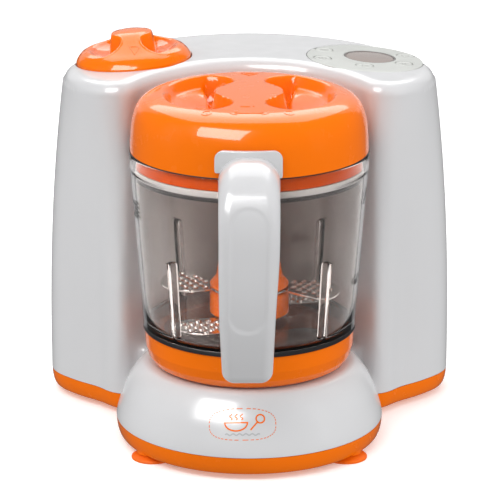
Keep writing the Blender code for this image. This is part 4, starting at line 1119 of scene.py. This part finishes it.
def make_lid():
    """Domed lid with two finger scoops round a central grip, its plug and its seal."""
    rows = dished(top_profile(LID_OUTSIDE, 0.75), lid_depth)
    rows += dished(top_profile(LID_INSIDE, 1.6)[::-1], lid_inner_depth)
    lid = make_object("lid", *stacked(rows))
    combine(lid, [rod("inlet", 3, 80, 50, STEAM_SPACE, 40)], "DIFFERENCE")
    finish_piece(smooth(lid, 50), "lid", "orange_gloss", "lid_dome")
    make_lid_marks(lid)
    # The plug takes the darkened orange: painted shade under the lid's rim.
    turned_piece("plug", [
        (63.2, 169, 0), (63.9, 167.5, 0.5), (63.9, 161.5, 0.5), (62.6, 161.2, 0),
        (62.6, 159.6, 0.3), (60.8, 159.6, 0.5), (60.8, 169, 0)], "lid", "orange_gloss",
        "lid_plug", material="orange_painted_shade")
    # Thin black ring where the lid meets the bowl's rim: a painted shadow, a dark ring standing in
    # for the shaded gap there.
    turned_piece("lid_shadow_ring", [(66.75, 169.45, 0.1), (66.75, 168.8, 0.1), (64.6, 168.8, 0),
                               (64.6, 169.45, 0)], "lid", "black_rubber")
    turned_piece("seal", [
        (61, 159.3, 0), (61, 155.2, 0.4), (63.65, 155, 0.4), (63.7, 157.2, 0.4),
        (62.7, 157.4, 0), (62.7, 159.3, 0)], "lid_ring", "black_rubber", "lid_seal")
    turned_piece("seal_sleeve", [(62.9, 161.2, 0.2), (63.8, 161, 0.2), (63.75, 157.6, 0.2),
                                 (62.9, 157.6, 0.2)], "lid_ring", "black_rubber",
                 material="badge_grey")


def make_cap():
    """Tank cap: a low cone with two dished scoops round a raised grip; its seal and neck."""
    rows = dished(top_profile(CAP_OUTSIDE, 0.5), cap_depth)
    rows += dished(rounded(CAP_RIM, steps=4)[1:], lambda *_: 0)
    cap = make_object("cap", *stacked(rows), CAP_SPACE)
    finish_piece(smooth(cap, 50), "cap", "orange_gloss", "tank_cap")
    make_cap_mark(cap)
    turned_piece("cap_seal_ring", [(24, -9.4, 0.5), (24, -12, 0.5), (22.7, -12, 0.3),
                                   (22.7, -9.4, 0.3)], "cap_ring", "black_rubber", "cap_seal",
                 space=CAP_SPACE, steps=128)
    turned_piece("neck", [
        (31, -5.2, 0.3), (31, -6.7, 0.3), (26.8, -6.7, 0.3), (26.8, -22, 0.3),
        (24.4, -22, 0.3), (24.4, -5.2, 0.8)], "appliance", "white_gloss", "filler_neck",
        space=CAP_SPACE, steps=128)


# ---- marks ----
def split(points, longest):
    """A line of points cut into runs no longer than a length."""
    runs = []
    for (ax, ay), (bx, by) in zip(points, points[1:]):
        count = max(1, math.ceil(math.dist((ax, ay), (bx, by)) / longest))
        runs += [(ax + (bx - ax) * i / count, ay + (by - ay) * i / count) for i in range(count)]
    return runs + [points[-1]]


def drop_onto(target, space):
    """A function that drops (x, y) of a space down its -Z axis onto a piece."""
    tree = surface_tree(target)
    down = (space.to_3x3() @ Vector((0, 0, -1))).normalized()

    def drop(x, y):
        return tree.ray_cast(space @ Vector((x, y, 0)), down)[:2]
    return drop


def lay_lines(name, lines, drop, width, raised, body, slot, material=None, sink=0.2):
    """Raised lines on a surface, mitred at corners. drop(x, y) gives a place and its normal."""
    verts, faces = [], []
    for line in lines:
        points = split(line, 1.2)
        first, last = len(verts), len(points) - 1
        closed = math.dist(points[0], points[-1]) < 1e-6
        for i, point in enumerate(points):
            before = points[(i or last * closed) - 1] if i or closed else point
            after = points[i + 1 if i < last else 1] if i < last or closed else point
            into = (Vector(point) - Vector(before)).normalized()
            out = (Vector(after) - Vector(point)).normalized()
            along = (into + out).normalized()
            reach = width / 2 / max(along.dot(out if out.length else into), 0.5)
            side = Vector((-along.y, along.x)) * reach
            for sign, lift in ((1, -sink), (-1, -sink), (-1, raised), (1, raised)):
                place, normal = drop(point[0] + sign * side.x, point[1] + sign * side.y)
                verts.append(tuple(place + normal * lift * MM))
        for i in range(last):
            for k in range(4):
                a, b = first + 4 * i + k, first + 4 * i + (k + 1) % 4
                faces.append((a, b, b + 4, a + 4))
        if not closed:
            end = first + 4 * last
            faces += [tuple(range(first + 3, first - 1, -1)), tuple(range(end, end + 4))]
    made = make_object(name, verts, faces, Matrix.Identity(4), weld=1e-7)
    finish_piece(smooth(made, 30), body, slot, material=material)


def superellipse(across, up, power, points):
    """Points of the unit circle, squared off and stretched."""
    return [(across * math.copysign(abs(c) ** power, c), up * math.copysign(abs(d) ** power, d))
            for c, d in points]


def make_badge(housing):
    """Plain pictogram on the plinth: a steaming bowl and a spoon in a dashed oval."""
    space = moved(JAR_SPACE, -3.7, -150, 78) @ Matrix.Rotation(math.radians(60), 4, "X")
    drop = drop_onto(housing, space)
    count = 44
    dashes = [superellipse(18.2, 8.6, 0.72, arc((0, 0), 1, start, start + 5.2, 4))
              for start in (360 * i / count for i in range(count))]
    bowl = arc((-3.5, 0.8), 6.2, 180, 360, 18, 0.72)
    spoon = [[(4.4, -3.2), (8.2, 1.2)], arc((9.7, 3), 2.3, 0, 360, 20)]
    steam = [[(x + 0.7 * math.sin(t * 1.3), 2.3 + 0.55 * t) for t in range(7)]
             for x in (-6.4, -3.5, -0.6)]
    wave = [(-9.5 + 0.5 * t, -5.6 + 0.45 * math.sin(t * 0.9)) for t in range(39)]
    for name, lines, width, material in (
            ("badge_bowl", [bowl + bowl[:1], *spoon, *steam], 0.8, "orange_gloss"),
            ("badge_dashes", dashes, 0.42, "orange_gloss"),
            ("badge_wave", [wave], 0.7, "badge_grey")):
        lay_lines(name, lines, drop, width, 0.06, "appliance", "white_gloss", material)


def make_lid_marks(lid):
    """Turning marks moulded on the lid: an arrow between a closed and an open ring."""
    drop = drop_onto(lid, moved(JAR_SPACE, 0, 0, 260))
    row = -48
    arrow = [[(-9.5, row), (9.5, row)]]
    arrow += [[(side * 6.8, row - 1.9), (side * 9.8, row), (side * 6.8, row + 1.9)]
              for side in (-1, 1)]
    closed = [arc((-23, row + 2.2), 2.5, 0, 360, 20), [(-23, row + 2.2), (-23, row + 0.6)]]
    opened = [arc((21.5, row + 2.2), 2.5, 50, 350, 18), [(21.5, row + 2.2), (21.5, row + 0.6)]]
    rear = [[(-4.2, 43.5), (4.2, 43.5), (0, 38.5), (-4.2, 43.5)]]
    grip = [[(-4.5, -31), (-4.5, -35), (0.5, -35)], [(2.4, -35), (2.4, -31)]]
    lay_lines("lid_marks", [*arrow, *closed, *opened, *rear, *grip], drop, 0.8, 0.24, "lid",
              "orange_gloss")


def make_cap_mark(cap):
    """Triangle moulded on the front of the cap's grip."""
    drop = drop_onto(cap, moved(CAP_SPACE, 0, 0, 60))
    triangle = [(-0.6, -18.8), (5, -18.8), (2.2, -24.8), (-0.6, -18.8)]
    lay_lines("cap_mark", [triangle], drop, 0.7, 0.24, "cap", "orange_gloss")


def key_marks():
    """Pictogram of each button, as lines round its centre."""
    rays = [(math.cos(math.pi / 3 * k), math.sin(math.pi / 3 * k)) for k in range(6)]
    return {
        "button_menu": [[(-2.6, y), (2.6, y)] for y in (-1.5, 0, 1.5)],
        "button_steam": [[(x + 0.55 * math.sin(t * 1.25), -1.8 + 0.6 * t) for t in range(7)]
                         for x in (-1.8, 0, 1.8)],
        "button_start": [[(-1.4, -2), (2.2, 0), (-1.4, 2), (-1.4, -2)]],
        "button_blend": [arc((0, 0), 2.2, turn, turn + 100, 10) for turn in (20, 140, 260)],
        "button_warm": [arc((0, 0), 1.1, 0, 360, 16)] + [
            [(1.8 * c, 1.8 * s), (2.7 * c, 2.7 * s)] for c, s in rays],
    }


# ---- control panel, drive and ports ----
def make_panel():
    """Fascia with its holes, the display, and five buttons."""
    profile = rounded([(0, -0.25, 0), (34, -0.25, 0.5), (34, -1.6, 0.2), (0, -1.6, 0)])
    fascia = turned("fascia", profile, PANEL_SPACE, 180)
    holes = [post("display_hole", DISPLAY_R + 0.3, DISPLAY_XY, -3, 2, 96, PANEL_SPACE)]
    holes += [post("button_hole", 5.4, spot, -3, 2, 64, PANEL_SPACE) for spot in BUTTONS.values()]
    combine(fascia, holes, "DIFFERENCE")
    finish_piece(smooth(fascia), "appliance", "panel_ivory", "panel_fascia")
    space = moved(PANEL_SPACE, *DISPLAY_XY)
    turned_piece("display_ring", [(DISPLAY_R, -0.35, 0.3), (DISPLAY_R, -1.6, 0), (14.1, -1.6, 0),
                                  (14.1, -0.35, 0.3)], "appliance", "display_glass",
                 space=space, steps=128, material="display_rim")
    turned_piece("display_lens", [(0, -0.5, 0), (14, -0.55, 0.3), (14, -1.5, 0),
                                  (0, -1.5, 0)], "appliance", "display_glass", "display_window",
                 space=space, steps=128)
    button = [(0, -0.45, 0), (3.6, -0.32, 1), (4.3, -0.12, 0.5), (5, -0.3, 0.4),
              (5, -2.1, 0), (6.2, -2.1, 0.2), (6.2, -3.3, 0.2), (1.6, -3.3, 0),
              (1.6, -10.2, 0.3), (0, -10.2, 0)]
    marks = key_marks()
    for name, spot in BUTTONS.items():
        space = moved(PANEL_SPACE, *spot)
        body = name.removeprefix("button_") + "_button"
        key = turned_piece(f"{name}_key", button, body, "panel_ivory", name, space=space,
                           steps=64)
        drop = drop_onto(key, moved(space, 0, 0, 20))
        lay_lines(f"{name}_mark", marks[name], drop, 0.6, 0.05, body, "panel_ivory", "print_soft")


def make_drive_ends():
    """Coupling on the plinth, and the socket and bush that meet it under the bowl."""
    flutes = []
    for a in (2 * math.pi * i / 96 for i in range(96)):
        r = 8.75 + 0.75 * math.tanh(2.2 * math.cos(6 * a))
        flutes.append((r * math.cos(a), r * math.sin(a)))
    steps = [(46.6, 1), (55.3, 1), (56, 0.96), (56.4, 0.88)]
    coupling = loft("coupling", [[(x * k, y * k, z) for x, y in flutes] for z, k in steps])
    flange = rounded([(0, 46.6, 0), (12, 46.6, 0.3), (12, 48.4, 0.6), (0, 48.8, 0)])
    combine(coupling, [turned("flange", flange, steps=96)], "UNION")
    combine(coupling, [rod("bore", 4.3, 40, 52.4, steps=48)], "DIFFERENCE")
    finish_piece(smooth(coupling), "drive", "orange_gloss", "drive_coupling")
    wall = rounded([(13.5, 61.4, 0.6), (13.5, 49, 0.8), (4.3, 49, 0), (4.3, 61.4, 0.3)])
    socket = turned("socket", wall, steps=96)
    room = [(1.09 * x, 1.09 * y) for x, y in flutes]
    combine(socket, [prism("socket_room", room, 46, 57.2)], "DIFFERENCE")
    finish_piece(smooth(socket), "blade", "black_plastic", "drive_socket")
    turned_piece("bush", [(7.7, 77.6, 0.5), (7.7, 62.4, 0.5), (4.2, 62.4, 0.4), (4.2, 77.6, 0.4)],
                 "jar", "steel", "spindle_bush", steps=72)


def make_ports():
    """Steam nozzle at the back of the lid, and the cord's grommet."""
    turned_piece("nozzle", [
        (5, 67.7, 0.6), (5, 77.4, 0.3), (8.5, 77.4, 0.4), (8.5, 79.4, 0.4), (5.4, 79.4, 0),
        (5.4, 84, 0.3), (2.6, 84, 0.3), (2.6, 67.7, 0.6)], "appliance", "white_gloss",
        "steam_nozzle", space=STEAM_SPACE, steps=64)
    turned_piece("grommet", [(5.9, 148, 0.3), (5.9, 157.6, 0.8), (3.2, 157.6, 0.8),
                             (3.2, 148, 0.3)], "appliance", "black_rubber", "cord_grommet",
                 space=CORD_SPACE, steps=64)


def dress_cad_nodes():
    """Procedural materials for the CAD nodes that stay."""
    slots = {part["node"]: part["material_slot"] for part in frame["record"]["subparts"]}
    for node, made in frame["nodes"].items():
        for material_slot in made.material_slots:
            material_slot.link = "OBJECT"
            material_slot.material = MATERIALS[slots[node]]


# ---- stage ----
# Grey of the sky by height, as it lights the object and as it is seen in reflections.
SKY = [(0, 0.66), (0.02, 0.62), (0.4, 0.78), (0.8, 0.95), (1, 1)]
REFLECTED_SKY = [(0, 0.10), (0.3, 0.09), (0.6, 0.07), (0.95, 0.06)]
# Name, place, size x, size y, power, aim, lights the object, is seen in reflections.
LAMPS = [
    ("key", (-0.40, -0.74, 1.15), 0.85, 0.50, 5.5, (0, -0.03, 0.14), True, False),
    ("window", (-0.51, -0.87, 0.99), 1, 0.80, 31, (0, -0.03, 0.14), False, True),
    ("ceiling", (0, 1.25, 1.85), 2.4, 2, 46, (0, 0, 0.18), False, True),
    ("backdrop", (0, 2, 1.05), 3.6, 1.6, 9, (0, 0, 0.18), False, True),
    ("side_left", (-1.5, -0.2, 0.6), 0.5, 1.2, 6, (0, 0, 0.1), True, False),
    ("side_right", (1.5, -0.6, 0.6), 0.5, 1.2, 10.5, (0, 0, 0.1), True, False),
    ("back", (0, 0.9, 1.2), 1.6, 0.5, 3, (0, 0.02, 0.1), True, False),
]
FLOOR_HALF = 6000


def make_sky():
    """A studio tent: bright overhead, dimmer at the sides, with a dim ceiling in reflections."""
    world = bpy.data.worlds.new("studio")
    world.use_nodes = True
    tree = world.node_tree
    place = add_node(tree, "ShaderNodeTexCoord").outputs["Generated"]
    parts = add_node(tree, "ShaderNodeSeparateXYZ", place)
    rays = add_node(tree, "ShaderNodeLightPath").outputs["Is Glossy Ray"]
    mix = add_node(tree, "ShaderNodeMixRGB", rays, "Fac")
    for socket, stops in (("Color1", SKY), ("Color2", REFLECTED_SKY)):
        greys = [(height, (shade,) * 3) for height, shade in stops]
        tree.links.new(colour_ramp(tree, parts.outputs["Z"], greys), mix.inputs[socket])
    tree.links.new(mix.outputs["Color"], tree.nodes["Background"].inputs["Color"])
    return world


def make_floor():
    """Pale floor, which gives no reflection and no bounced light."""
    corners = [(FLOOR_HALF * x, FLOOR_HALF * y, 0) for x, y in ((-1, -1), (1, -1), (1, 1), (-1, 1))]
    floor = make_object("floor", corners, [(0, 1, 2, 3)])
    pale = moulded("floor_pale", (0.985, 0.985, 0.985), 0.9, drift=0.004)
    set_inputs(pale.node_tree.nodes["Principled BSDF"], Emission_Color=(1, 1, 1, 1),
               Emission_Strength=0.2)
    floor.data.materials.append(pale)
    return set_values(floor, visible_diffuse=False, visible_glossy=False)


def make_lamp(name, place, wide, tall, power, aim, lighting, reflected):
    """A rectangular lamp aimed at a point."""
    data = set_values(bpy.data.lights.new(name, "AREA"), shape="RECTANGLE", size=wide,
                      size_y=tall, energy=power)
    facing = (Vector(aim) - Vector(place)).to_track_quat("-Z", "Y").to_euler()
    return set_values(add_object(name, data), location=place, rotation_euler=facing,
                      visible_diffuse=lighting, visible_glossy=reflected)


def make_stage():
    """Pale floor, soft light and the camera."""
    scene = bpy.context.scene
    make_floor()
    [make_lamp(*lamp) for lamp in LAMPS]
    scene.world = make_sky()
    scene.view_settings.view_transform = "Standard"
    lens = set_values(bpy.data.cameras.new("camera"), sensor_width=36, lens=200.9,
                      shift_x=0.0014, clip_end=50)
    scene.camera = set_values(add_object("camera", lens),
                              location=(JAR_FOOT.x, JAR_FOOT.y - 1.5, 0.5665),
                              rotation_euler=(math.radians(73.07), 0, 0))


make_housing()
make_feet()
make_bowl()
make_jar_base()
make_graduations()
make_blade("upper_blade", "blade_upper", 88.4, 17.2, 0)
make_blade("lower_blade", "blade_lower", 73, 13.5, -122)
make_hub()
make_handle()
make_lid()
make_cap()
make_panel()
make_drive_ends()
make_ports()
dress_cad_nodes()
make_stage()
